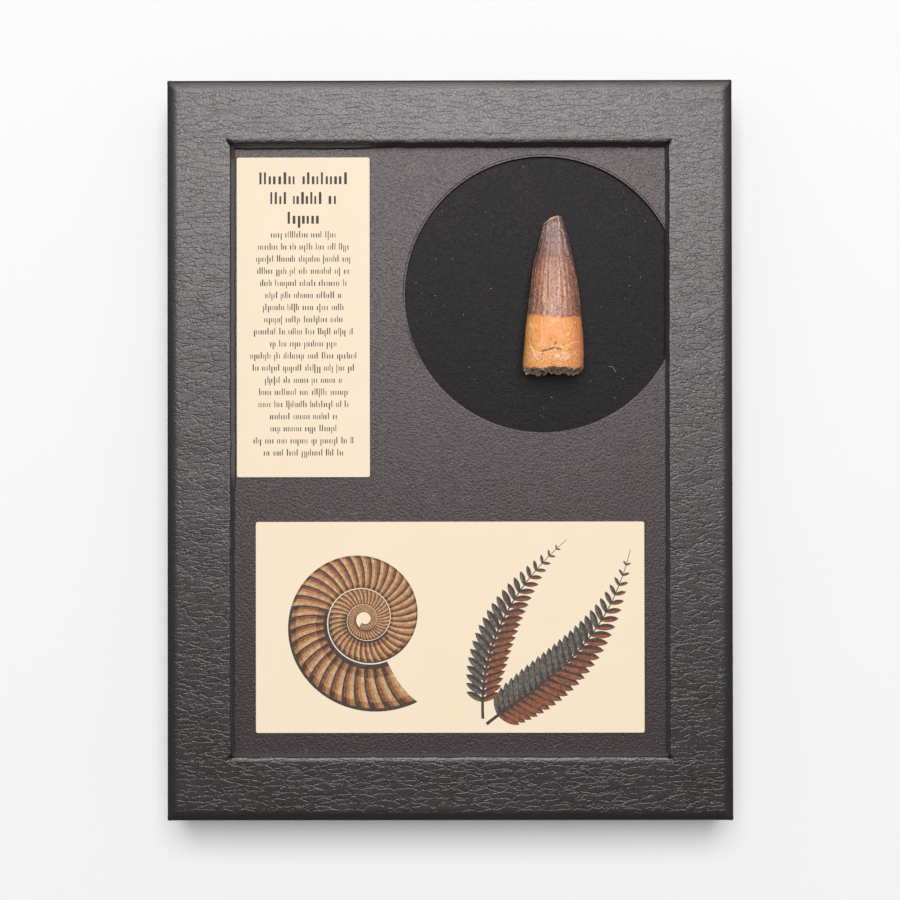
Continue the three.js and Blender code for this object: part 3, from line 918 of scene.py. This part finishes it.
# Painted sheen: the pile's tones lighten from the lower edge towards the top, where the lamp is.
painted_sheen_to_top = add_node(
    tree, "MapRange", {"Value": place_along, "From Min": 4 * MM, "From Max": 80 * MM}
)
pile_dark = add_node(
    tree,
    "Mix",
    {"Factor": painted_sheen_to_top, "A": linear("#030303"), "B": linear("#08070A")},
    data_type="RGBA",
)
painted_pile_highlight = add_node(
    tree,
    "Mix",
    {"Factor": painted_sheen_to_top, "A": linear("#211F22"), "B": linear("#3A373E")},
    data_type="RGBA",
)
pile_tone = add_node(
    tree,
    "Mix",
    {"Factor": pile_spread, "A": pile_dark, "B": painted_pile_highlight},
    data_type="RGBA",
)
bloom = add_node(
    tree,
    "Mix",
    {"Factor": brushed, "A": pile_tone, "B": linear("#101014")},
    data_type="RGBA",
)
pile_normal = add_node(tree, "Bump", {"Strength": 0.8, "Distance": 0.12 * MM, "Height": pile_ends})
surface = add_node(
    tree,
    "BsdfPrincipled",
    {
        "Base Color": bloom,
        "Roughness": 0.45,
        "IOR": 1.25,
        "Normal": pile_normal,
    },
)
add_node(tree, "OutputMaterial", {"Surface": surface})

velour_pad.data.materials.append(velour)
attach(velour_pad, "root")
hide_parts("backing_pad")

# Tooth
# Fossil crocodile-like tooth: fluted enamel in purple brown on the crown, orange dentine at
# the root, two pale cutting edges, a chipped tip and a crumbly broken base.
TOOTH_RINGS = 300
TOOTH_SEGMENTS = 256
BASE_RINGS = 44
FLUTE_COUNT = 28
ENAMEL_EDGE = 15.7
BASE_JUT = 1.6
BASE_NOTCH = 0.55
BASE_JUT_SPAN = 0.75
BASE_RAGGED = 0.35
BASE_FADE = 6.0
BASE_HOLLOW = 0.9
TIP_POINT = 0.1
# Planes that the chipped tip is sheared along: a point of the outline and the way each faces
TIP_CHIPS = [
    ((-2.35, 41.9), (-0.64, 0.77, 0.12)), ((-0.65, 43.35), (-0.37, 0.92, 0.28)),
    ((1.3, 44.05), (0.32, 0.95, 0.12)),
]
# How full the tooth's upper half is: 2 is an ellipse, more is flatter on top
FULLNESS = 2.5
# The right cutting edge: distance from the base, and its share of the half width
RIGHT_EDGE = [
    (0, 0.92), (16, 0.92), (24.5, 0.92), (27.3, 0.91), (29.7, 0.82), (31.9, 0.74), (35.8, 0.65),
    (39.2, 0.65), (40, 0.58), (43, 0.43), (44, 0.4),
]
# Light lines along the crown, as offset from the tooth's axis and distance from the base
CROWN_LINES = [
    [(1.5, 43.2), (1.5, 37.7), (1.5, 33.5), (2.0, 30.4), (1.5, 27.9), (1.3, 23.4), (0.9, 19.4),
     (0.7, 14.4)],
    [(-2.5, 28.4), (-2.7, 23.4), (-3.0, 19.9)], [(-2.4, 41), (-3.2, 37.4)],
    [(-1.35, 40.9), (-1.75, 36.7)], [(2.7, 25.4), (3.0, 21.4)], [(-0.7, 19.4), (-0.85, 14.4)],
    [(-5.0, 23.6), (-5.6, 17.5)],
]
# Places on the crown made darker or lighter: offset, distance, reach sideways and lengthwise, lightness
CROWN_PATCHES = [
    (-4.3, 32.4, 1.1, 4.2, -0.6), (-3.0, 38.2, 0.7, 3.0, -0.4), (-5.6, 21.2, 1.3, 3.0, -0.35),
    (-6.0, 17.2, 1.5, 1.2, -0.2), (4.9, 32.2, 1.1, 5.0, -0.55), (3.2, 39.3, 0.8, 3.0, -0.6),
    (-4.4, 27.0, 1.3, 2.2, 0.3),
    (6.0, 18.8, 1.1, 3.0, -0.4), (4.3, 26.0, 1.6, 2.6, -0.25), (0.2, 40.8, 0.8, 1.8, 0.15),
    (-1.4, 25.9, 2.0, 4.5, 0.15), (0.0, 19.4, 1.8, 3.5, 0.3), (2.9, 19.9, 1.4, 2.8, 0.1),
]
# Lines on the root, as offset from the tooth's axis and distance from the base
CRACK = [(-3.3, 6.3), (-1.6, 6.7), (-0.1, 7.1), (0.6, 7.1), (1.7, 6.8)]
GROOVES = [
    [(5.35, 15.0), (5.55, 13.1)], [(6.0, 14.9), (6.15, 12.5)], [(5.1, 12.2), (4.8, 10.4)],
    [(6.55, 12.1), (6.65, 10.9)],
]
# Clusters of pale flecks: offset, distance, reach sideways and lengthwise
FLECK_CLUSTERS = [
    (-6.3, 13.4, 0.4, 0.7), (3.55, 10.9, 0.4, 0.5), (1.9, 4.3, 1.9, 1.3), (-5.1, 4.7, 1.6, 1.4),
]
THIN_LINES = [
    [(-3.5, 15.4), (-3.4, 11.4), (-3.55, 7.5)], [(5.3, 12.2), (4.9, 10.3)], [(0.5, 5.8), (0.9, 3.5)],
    [(-5.6, 15.3), (-5.55, 12.0)], [(2.5, 14.9), (2.7, 12.4)],
]
VEINS = [
    [(-6.8, 8.1), (-6.05, 7.1), (-5.0, 6.0), (-3.45, 5.8), (-1.0, 6.3), (0.6, 7.4), (1.75, 7.0),
     (2.85, 7.7), (4.0, 8.0), (5.0, 8.6), (6.6, 9.0)],
    [(0.25, 3.8), (0.85, 4.9), (2.05, 5.2), (3.35, 5.8), (3.95, 4.8), (3.95, 3.8), (2.75, 2.5)],
    [(-6.05, 7.1), (-5.65, 5.7), (-5.2, 4.4)],
]

rng = np.random.default_rng(11)
distance = np.repeat(np.linspace(0, TOOTH_LENGTH, TOOTH_RINGS + 1), TOOTH_SEGMENTS)
angle = np.tile(np.arange(TOOTH_SEGMENTS) / TOOTH_SEGMENTS * 2 * math.pi, TOOTH_RINGS + 1)
middle, half_width, half_height, underside = tooth_section(distance)
girth = (half_width + half_height) / 2
# Coordinates that run round and along the surface, in millimetres, for its fine relief
skin = np.column_stack([np.cos(angle) * girth, distance, np.sin(angle) * girth])
side = middle + half_width * np.cos(angle)
is_upper = smooth_step(np.sin(angle), -0.1, 0.1)
upper_height = (1 - np.abs(np.cos(angle)) ** FULLNESS) ** (1 / FULLNESS)
height_share = np.where(np.sin(angle) > 0, upper_height, np.sin(angle))


# Enamel: its lower edge is wavy and stands a little above the root.
edge_line = ENAMEL_EDGE + 0.2 * np.sin(3 * angle + 1) + 0.3 * roughness_field(skin, 1.3, 6)
edge_line += 0.5 * roughness_field(skin, (0.35, 4, 0.35), 30)
enamel_fade = 0.15 + 1.1 * smooth_step(-side, 2, 6.5)
enamel = smooth_step(distance, edge_line - 0.15, edge_line + enamel_fade)
towards_tip = 1 - 0.6 * distance / TOOTH_LENGTH
flute_drift = roughness_field(skin, (9, 14, 9), 7)
flutes = np.cos(FLUTE_COUNT * angle + 2.4 * flute_drift)
streaks = roughness_field(skin, (0.42, 3.4, 0.42), 8)
wrinkles = roughness_field(skin, (0.26, 1.1, 0.26), 9)
relief = enamel * (0.02 + towards_tip * (0.06 * flutes + 0.09 * streaks + 0.06 * wrinkles))

# Cutting edges: low ridges, worn pale, right and left.
right_share = smooth_curve([e[0] for e in RIGHT_EDGE], [e[1] for e in RIGHT_EDGE], distance)
right_angle = np.arccos(np.clip(right_share, -1, 1))
left_angle = math.pi - 0.17 + 0.04 * np.sin(distance / 5)
waver = 0.04 * roughness_field(skin, (4, 1.5, 4), 10)
right_ridge = np.exp(-((angle - right_angle + waver) * girth / 0.13) ** 2)
left_ridge = np.exp(-((angle - left_angle + waver) * girth / 0.13) ** 2)
ridge = (right_ridge + left_ridge) * enamel
relief += 0.08 * ridge

# Root: fine bark, pits, a crack and raised pale veins.
bark = roughness_field(skin, (0.5, 0.9, 0.5), 12)
fine_bark = roughness_field(skin, 0.28, 13)
root = 1 - enamel
crack = near_line(CRACK, side + 0.12 * bark, distance + 0.15 * fine_bark, 0.2) * is_upper
notch = near_line([(0.25, 8.7), (0.2, 8.1)], side, distance, 0.16) * is_upper
veins = np.zeros(len(side))
for line in VEINS:
    wobble = 0.25 * bark
    veins = np.maximum(veins, near_line(line, side + wobble, distance + 0.6 * wobble, 0.12))
veins *= is_upper * (0.45 + 0.55 * smooth_step(roughness_field(skin, 0.6, 14), -0.35, 0.15))
pits = np.zeros(len(side))
flecks = np.zeros(len(side))
for _ in range(60):
    pit_angle = rng.uniform(-0.1, math.pi + 0.1)
    pit_distance = 2.4 + 13.2 * rng.random() ** 1.5
    gap = np.hypot((angle - pit_angle) * girth, distance - pit_distance)
    pits = np.maximum(pits, np.exp(-(gap / rng.uniform(0.1, 0.24)) ** 2))
for _ in range(70):
    fleck_angle, fleck_distance = rng.uniform(-0.1, math.pi + 0.1), rng.uniform(2.2, 16)
    gap = np.hypot((angle - fleck_angle) * girth, distance - fleck_distance)
    flecks = np.maximum(flecks, np.exp(-(gap / rng.uniform(0.12, 0.28)) ** 2))
for x, y, reach_x, reach_y in FLECK_CLUSTERS:
    for _ in range(round(9 * reach_x * reach_y) + 6):
        fleck_x = rng.normal(x, reach_x / 2)
        fleck_y = rng.normal(y, reach_y / 2)
        gap = np.hypot(side - fleck_x, distance - fleck_y)
        flecks = np.maximum(flecks, is_upper * np.exp(-(gap / rng.uniform(0.14, 0.3)) ** 2))
grooves = np.zeros(len(side))
for line in GROOVES:
    grooves = np.maximum(grooves, near_line(line, side + 0.1 * bark, distance, 0.13) * is_upper)
pits = np.maximum(pits, grooves * (roughness_field(skin, (0.6, 0.5, 0.6), 27) > -0.15))
relief += root * (0.05 * bark + 0.025 * fine_bark - 0.28 * crack - 0.25 * notch - 0.16 * pits)
thin_lines = np.zeros(len(side))
for line in THIN_LINES:
    thin_lines = np.maximum(thin_lines, near_line(line, side + 0.1 * bark, distance, 0.1) * is_upper)
relief += root * (0.07 * veins + 0.04 * flecks + 0.03 * thin_lines)

# Broken base: the rim is ragged and crumbles over its last millimetre.
upper = smooth_step(np.sin(angle), -BASE_JUT_SPAN, 0)
waves = 0.5 * np.sin(5 * angle + 0.6) + 0.3 * np.sin(11 * angle + 2.1) + 0.2 * np.sin(17 * angle)
ragged = BASE_JUT * upper + BASE_RAGGED * (1 + waves)
ragged += BASE_NOTCH * (1 - upper) * np.exp(-((side + 0.7) / 1.7) ** 2)
crumble = np.clip(1 - distance / 1.1, 0, 1)
crumbs = roughness_field(skin, 0.55, 15) + 0.6 * roughness_field(skin, 0.3, 16)
relief += 0.2 * crumble * crumbs
base_shift = (ragged + 0.22 * crumbs) * np.clip(1 - distance / BASE_FADE, 0, 1)

tooth_points = np.column_stack([
    middle + (half_width + relief) * np.cos(angle),
    distance + base_shift,
    underside + half_height + (half_height + relief) * height_share,
])

# Chipped tip: the end is sheared off in three small faces, and the middle one bares dentine.
tip_middle, _, tip_height, tip_under = (float(v[0]) for v in tooth_section(np.array([42.5])))
tip_point = np.array([[tip_middle + 0.6, TOOTH_LENGTH + TIP_POINT, tip_under + tip_height]])
chip = np.zeros(len(side))
for (chip_side, chip_distance), chip_way in TIP_CHIPS:
    chip_normal = np.array(chip_way) / np.linalg.norm(chip_way)
    chip_origin = np.array([chip_side, chip_distance, tip_under + tip_height])
    above_chip = (tooth_points - chip_origin) @ chip_normal
    cut_back = np.clip(above_chip + 0.06 * fine_bark + 0.05 * bark, 0, None)
    tooth_points -= cut_back[:, None] * chip_normal
    tip_point -= max(0.0, float(((tip_point - chip_origin) @ chip_normal)[0])) * chip_normal
    bared = 1.0 if chip_way[0] == -0.37 else 0.55
    chip = np.maximum(chip, bared * smooth_step(above_chip, -0.14, 0.04))

# The broken face inside the rim, lumpy and slightly hollow.
rim = tooth_points[:TOOTH_SEGMENTS]
rim_middle = np.array([float(middle[0]), rim[:, 1].mean(), float(half_height[0])])
base_rings = []
for ring in range(1, BASE_RINGS):
    share = 1 - ring / BASE_RINGS
    inner = rim_middle + (rim - rim_middle) * share
    inner[:, 1] += BASE_HOLLOW * (1 - share * share)
    base_rings.append(inner)
base_points = np.concatenate(base_rings)
knobs = np.sqrt(np.abs(roughness_field(base_points, (1.2, 3, 0.9), 17)))
base_grit = roughness_field(base_points, 0.42, 18)
base_points[:, 1] += 0.75 - 1.5 * knobs - 0.35 * base_grit
side_count = len(tooth_points)
base_count = len(base_points)
base_centre = rim_middle + np.array([0, BASE_HOLLOW, 0])
all_points = np.concatenate([tooth_points, base_points, tip_point, base_centre[None]])
all_points += (TOOTH_X, TOOTH_Y, nest_floor)
tip_index = side_count + base_count

faces = [
    band_faces((ring + 1) * TOOTH_SEGMENTS, ring * TOOTH_SEGMENTS, TOOTH_SEGMENTS)
    for ring in range(TOOTH_RINGS)
]
outer_ring = 0
for ring in range(BASE_RINGS - 1):
    faces.append(band_faces(outer_ring, side_count + ring * TOOTH_SEGMENTS, TOOTH_SEGMENTS))
    outer_ring = side_count + ring * TOOTH_SEGMENTS
faces = np.concatenate(faces).tolist()
last_ring = side_count - TOOTH_SEGMENTS
for i in range(TOOTH_SEGMENTS):
    after = (i + 1) % TOOTH_SEGMENTS
    faces.append([last_ring + i, tip_index, last_ring + after])
    faces.append([outer_ring + i, outer_ring + after, tip_index + 1])
tooth = new_object("tooth_fossil", all_points, faces)

# Painted shade: the crown gets darker tones on its rounded flanks, and in a strip past the right cutting edge,
# where the sides turn from the light.
painted_flank_shade = np.abs(np.cos(angle)) ** 3
painted_shade_past_right_edge = smooth_step(right_angle - angle, 0.0, 0.12) * smooth_step(distance, 22, 30)
grains = roughness_field(skin, (0.24, 0.36, 0.24), 26) + 0.7 * roughness_field(skin, (0.5, 0.8, 0.5), 28)
grain_part = 0.5 + 0.3 * (1 - smooth_step(distance, 20, 34))
# The enamel's streaks are its own colour; the tone is also a little darker in the flutes' grooves, which is
# painted shade.
streak_tone = 0.5 + 0.3 * streaks + 0.25 * wrinkles + 0.1 * flutes + grain_part * grains
streak_tone = np.clip(streak_tone, 0, 1)
patches = roughness_field(skin, (2.2, 6, 2.2), 20)
crown_lightness_and_painted_shade = 0.76 - 0.3 * painted_flank_shade + 0.2 * patches - 0.3 * painted_shade_past_right_edge
for x, y, reach_x, reach_y, amount in CROWN_PATCHES:
    closeness = np.exp(-((side - x) / reach_x) ** 2 - ((distance - y) / reach_y) ** 2)
    crown_lightness_and_painted_shade += amount * closeness * is_upper
crown_lightness_and_painted_shade = np.clip(crown_lightness_and_painted_shade, 0, 1)
worn = smooth_step(roughness_field(skin, (1, 0.9, 1), 24), -0.45, 0.1)
lines = np.zeros(len(side))
for line in CROWN_LINES:
    lines = np.maximum(lines, near_line(line, side + 0.12 * bark, distance, 0.17) * is_upper)
lines *= smooth_step(roughness_field(skin, (0.7, 0.6, 0.7), 29), -0.4, 0.2)
crown_specks = smooth_step(roughness_field(skin, 0.3, 31), 0.3, 0.5) * enamel
crown_pits = smooth_step(roughness_field(skin, (0.3, 0.45, 0.3), 32), 0.2, 0.45) * enamel
pale = 0.8 * ridge * worn + enamel * (0.6 * lines + 0.3 * crown_specks)
pale += root * (0.75 * veins + 0.6 * flecks + 0.3 * lines + 0.5 * thin_lines)
pale = np.clip(pale, 0, 1)
greyness = smooth_step(distance + 1.5 * patches, 29, 37) * enamel
low_root = root * (1 - smooth_step(distance, 5.5, 10))
specks = smooth_step(roughness_field(skin, 0.33, 21), 0.2, 0.42) * (0.25 + 0.75 * low_root) * root
pale = np.clip(pale + 0.5 * specks, 0, 1)
dark_specks = smooth_step(roughness_field(skin, 0.3, 22), 0.3, 0.5) * low_root
# The crack, notch and pits are dark marks; the dents of the crumbling rim are painted dark too, as painted shade.
dark = root * (crack + notch + 0.7 * pits) + 0.6 * dark_specks + 0.6 * crumble * (crumbs < -0.15)
# Pits in the enamel are dark, and darker still on the flanks, where the extra darkness is painted shade.
dark += crown_pits * (0.2 + 0.3 * painted_flank_shade)
dark = np.clip(dark, 0, 1)
redness = smooth_step(side / 8 + 0.12 * patches, 0.35, 0.95) * root
broken = 0.9 * smooth_step(-distance, -0.5, 0) * (distance < 1)
tip_and_base = np.zeros(base_count + 2)
base_broken = np.concatenate([np.ones(base_count), [0.0, 1.0]])
# Painted shade and highlight on the broken face: the hollows between its knobs and its middle point are painted
# dark, and the knobs' tops pale.
painted_base_hollow_shade = np.concatenate([smooth_step(-knobs, -0.45, -0.2), [0.0, 0.6]])
painted_base_knob_highlight = np.concatenate([smooth_step(knobs + 0.7 * base_grit, 0.45, 0.75), [0.0, 0.0]])
for name, on_side, on_ends in (
    ("enamel", enamel, tip_and_base),
    ("streak", streak_tone, tip_and_base),
    ("crown_lightness_and_painted_shade", crown_lightness_and_painted_shade, tip_and_base),
    ("pale", pale, painted_base_knob_highlight),
    ("dark", dark, painted_base_hollow_shade),
    ("chip", chip, tip_and_base),
    ("broken", broken, base_broken),
    ("redness", redness, tip_and_base),
    ("greyness", greyness, tip_and_base),
):
    attribute = tooth.data.attributes.new(name, "FLOAT", "POINT")
    attribute.data.foreach_set("value", np.concatenate([on_side, on_ends]).astype(np.float32))

# Mineralised enamel and dentine, a phosphate stone: satin enamel in streaks of purple brown
# and pinkish tan, painted darker on its flanks as shade, and a duller, waxy orange root with
# cream veins and brown pits.
fossil, tree = new_finish("phosphate_fossil_enamel_and_dentine")
place = add_node(tree, "TexCoord", output="Object")
mask = {
    name: add_node(tree, "Attribute", output="Fac", attribute_name=name)
    for name in (
        "enamel", "streak", "crown_lightness_and_painted_shade", "pale", "dark", "chip", "broken", "redness", "greyness"
    )
}
grit = add_node(tree, "TexNoise", {"Vector": place, "Scale": 1 / (0.45 * MM), "Detail": 4.0})
grit_spread = add_node(tree, "MapRange", {"Value": grit, "From Min": 0.35, "From Max": 0.65})
blotches = add_node(tree, "TexNoise", {"Vector": place, "Scale": 1 / (2.6 * MM), "Detail": 3.0})
blotch_spread = add_node(tree, "MapRange", {"Value": blotches, "From Min": 0.38, "From Max": 0.62})


def mix_tone(factor, first, second):
    """The tone that lies between two tones by a factor. A tone is a hex colour or a socket."""
    first, second = (linear(tone) if isinstance(tone, str) else tone for tone in (first, second))
    return add_node(tree, "Mix", {"Factor": factor, "A": first, "B": second}, data_type="RGBA")


fine_place = add_node(
    tree, "VectorMath", {0: place, 1: (1 / (0.28 * MM), 1 / (0.55 * MM), 1 / (0.28 * MM))},
    operation="MULTIPLY",
)
fine_lines = add_node(tree, "TexNoise", {"Vector": fine_place, "Scale": 1.0, "Detail": 3.0})
line_spread = add_node(tree, "MapRange", {"Value": fine_lines, "From Min": 0.4, "From Max": 0.6})
streak_mix = add_node(
    tree, "Mix", {"Factor": 0.5, "A": mask["streak"], "B": line_spread}, data_type="FLOAT"
)
# Shaded and lit copies of the enamel's tones: the flank tones are painted shade, the centre tones the lit middle.
shaded_flank_tone = mix_tone(streak_mix, "#2A1A1B", "#9C6B5B")
lit_centre_tone = mix_tone(streak_mix, "#683C28", "#D8966F")
crown_tone = mix_tone(mask["crown_lightness_and_painted_shade"], shaded_flank_tone, lit_centre_tone)
shaded_grey_flank = mix_tone(streak_mix, "#2A1D22", "#84666A")
lit_grey_centre = mix_tone(streak_mix, "#5B4040", "#B89182")
grey_tone = mix_tone(mask["crown_lightness_and_painted_shade"], shaded_grey_flank, lit_grey_centre)
crown_tone = mix_tone(mask["greyness"], crown_tone, grey_tone)
root_light = mix_tone(grit_spread, "#E59549", "#FAB568")
root_tone = mix_tone(blotch_spread, root_light, "#EB994C")
root_tone = mix_tone(mask["redness"], root_tone, "#D8854F")
body_tone = mix_tone(mask["enamel"], root_tone, crown_tone)
body_tone = mix_tone(mask["broken"], body_tone, "#DCA884")
body_tone = mix_tone(mask["dark"], body_tone, "#301D14")
pale_tone = mix_tone(mask["enamel"], "#FCE3BE", "#E8C9B6")
pale_tone = mix_tone(mask["broken"], pale_tone, "#FFE6D2")
body_tone = mix_tone(mask["pale"], body_tone, pale_tone)
body_tone = mix_tone(mask["chip"], body_tone, "#FFE2B4")
fossil_normal = add_node(tree, "Bump", {"Strength": 0.5, "Distance": 0.05 * MM, "Height": grit})
gloss = add_node(
    tree, "MapRange", {"Value": mask["enamel"], "To Min": 0.55, "To Max": 0.4}
)
surface = add_node(
    tree,
    "BsdfPrincipled",
    {"Base Color": body_tone, "Roughness": gloss, "IOR": 1.6, "Normal": fossil_normal},
)
add_node(tree, "OutputMaterial", {"Surface": surface})

tooth.data.materials.append(fossil)
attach(tooth, "root")
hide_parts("tooth")

# Dust and fibres
# White specks and one short curled fibre that have settled on the velour.
SPECK_COUNT = 46
FIBRE_SIDES = 4


def fibre(path, width):
    """A thin closed tube along a path of points."""
    points = []
    faces = []
    for i, here in enumerate(path):
        along = (Vector(path[min(i + 1, len(path) - 1)]) - Vector(path[max(i - 1, 0)])).normalized()
        aside = along.cross(Vector((0, 0, 1))).normalized()
        up = aside.cross(along)
        for k in range(FIBRE_SIDES):
            turn = k / FIBRE_SIDES * 2 * math.pi
            points.append(tuple(Vector(here) + width / 2 * (math.cos(turn) * aside + math.sin(turn) * up)))
    for i in range(len(path) - 1):
        faces.extend(band_faces(i * FIBRE_SIDES, (i + 1) * FIBRE_SIDES, FIBRE_SIDES).tolist())
    last = (len(path) - 1) * FIBRE_SIDES
    faces.append([k for k in reversed(range(FIBRE_SIDES))])
    faces.append([last + k for k in range(FIBRE_SIDES)])
    return points, faces


rng = np.random.default_rng(23)
dust_points = []
dust_faces = []


def add_dust(points, faces):
    dust_faces.extend([len(dust_points) + i for i in face] for face in faces)
    dust_points.extend(points)


for _ in range(SPECK_COUNT):
    radius = HOLE_RADIUS * math.sqrt(rng.uniform(0, 0.9))
    turn = rng.uniform(0, 2 * math.pi)
    x = HOLE_X + radius * math.cos(turn)
    y = HOLE_Y + radius * math.sin(turn)
    length = rng.uniform(0.1, 0.22)
    if abs(x - TOOTH_X) < 10 and -2 < y - TOOTH_Y < TOOTH_LENGTH + 1:
        continue
    heading = rng.uniform(0, math.pi)
    step = Vector((math.cos(heading), math.sin(heading), 0)) * length
    start = Vector((x, y, pad_high.z + 0.06))
    add_dust(*fibre([start, start + step, start + 1.6 * step], rng.uniform(0.1, 0.19)))
# One curled fibre on the velour, right of the tooth's base
curl = []
for t in np.linspace(0, 1, 12):
    curl.append((43.9 + 2.1 * t, 22.9 - 1.5 * t + 0.7 * math.sin(3.4 * t), pad_high.z + 0.08 + 0.3 * t * (1 - t)))
add_dust(*fibre(curl, 0.09))

dust = new_object("dust_and_fibres", dust_points, dust_faces)

# Cotton lint: off-white and matt, its brightness varying from bit to bit.
lint, tree = new_finish("cotton_lint")
place = add_node(tree, "TexCoord", output="Object")
bits = add_node(tree, "TexNoise", {"Vector": place, "Scale": 1 / (3 * MM)})
lint_tone = mix_tone(bits, "#8A8681", "#E6E2DC")
surface = add_node(tree, "BsdfPrincipled", {"Base Color": lint_tone, "Roughness": 0.9, "IOR": 1.5})
add_node(tree, "OutputMaterial", {"Surface": surface})

dust.data.materials.append(lint)
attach(dust, "root")

# Back board
# Grey board 2.4 mm thick, lined with black paper, pressed into the rebate behind the pad. The
# carried-over solid has its shape, so it only gets its finish.
lining, tree = new_finish("black_lining_paper_on_grey_board")
place = add_node(tree, "TexCoord", output="Object")
fibres = add_node(tree, "TexNoise", {"Vector": place, "Scale": 1 / (0.8 * MM), "Detail": 5.0})
lining_tone = mix_tone(fibres, "#1B1A1A", "#302E2D")
fibre_normal = add_node(tree, "Bump", {"Strength": 0.5, "Distance": 0.06 * MM, "Height": fibres})
surface = add_node(
    tree,
    "BsdfPrincipled",
    {"Base Color": lining_tone, "Roughness": 0.8, "IOR": 1.5, "Normal": fibre_normal},
)
add_node(tree, "OutputMaterial", {"Surface": surface})
back_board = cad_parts["back_board"]
back_board.data.materials.clear()
back_board.data.materials.append(lining)
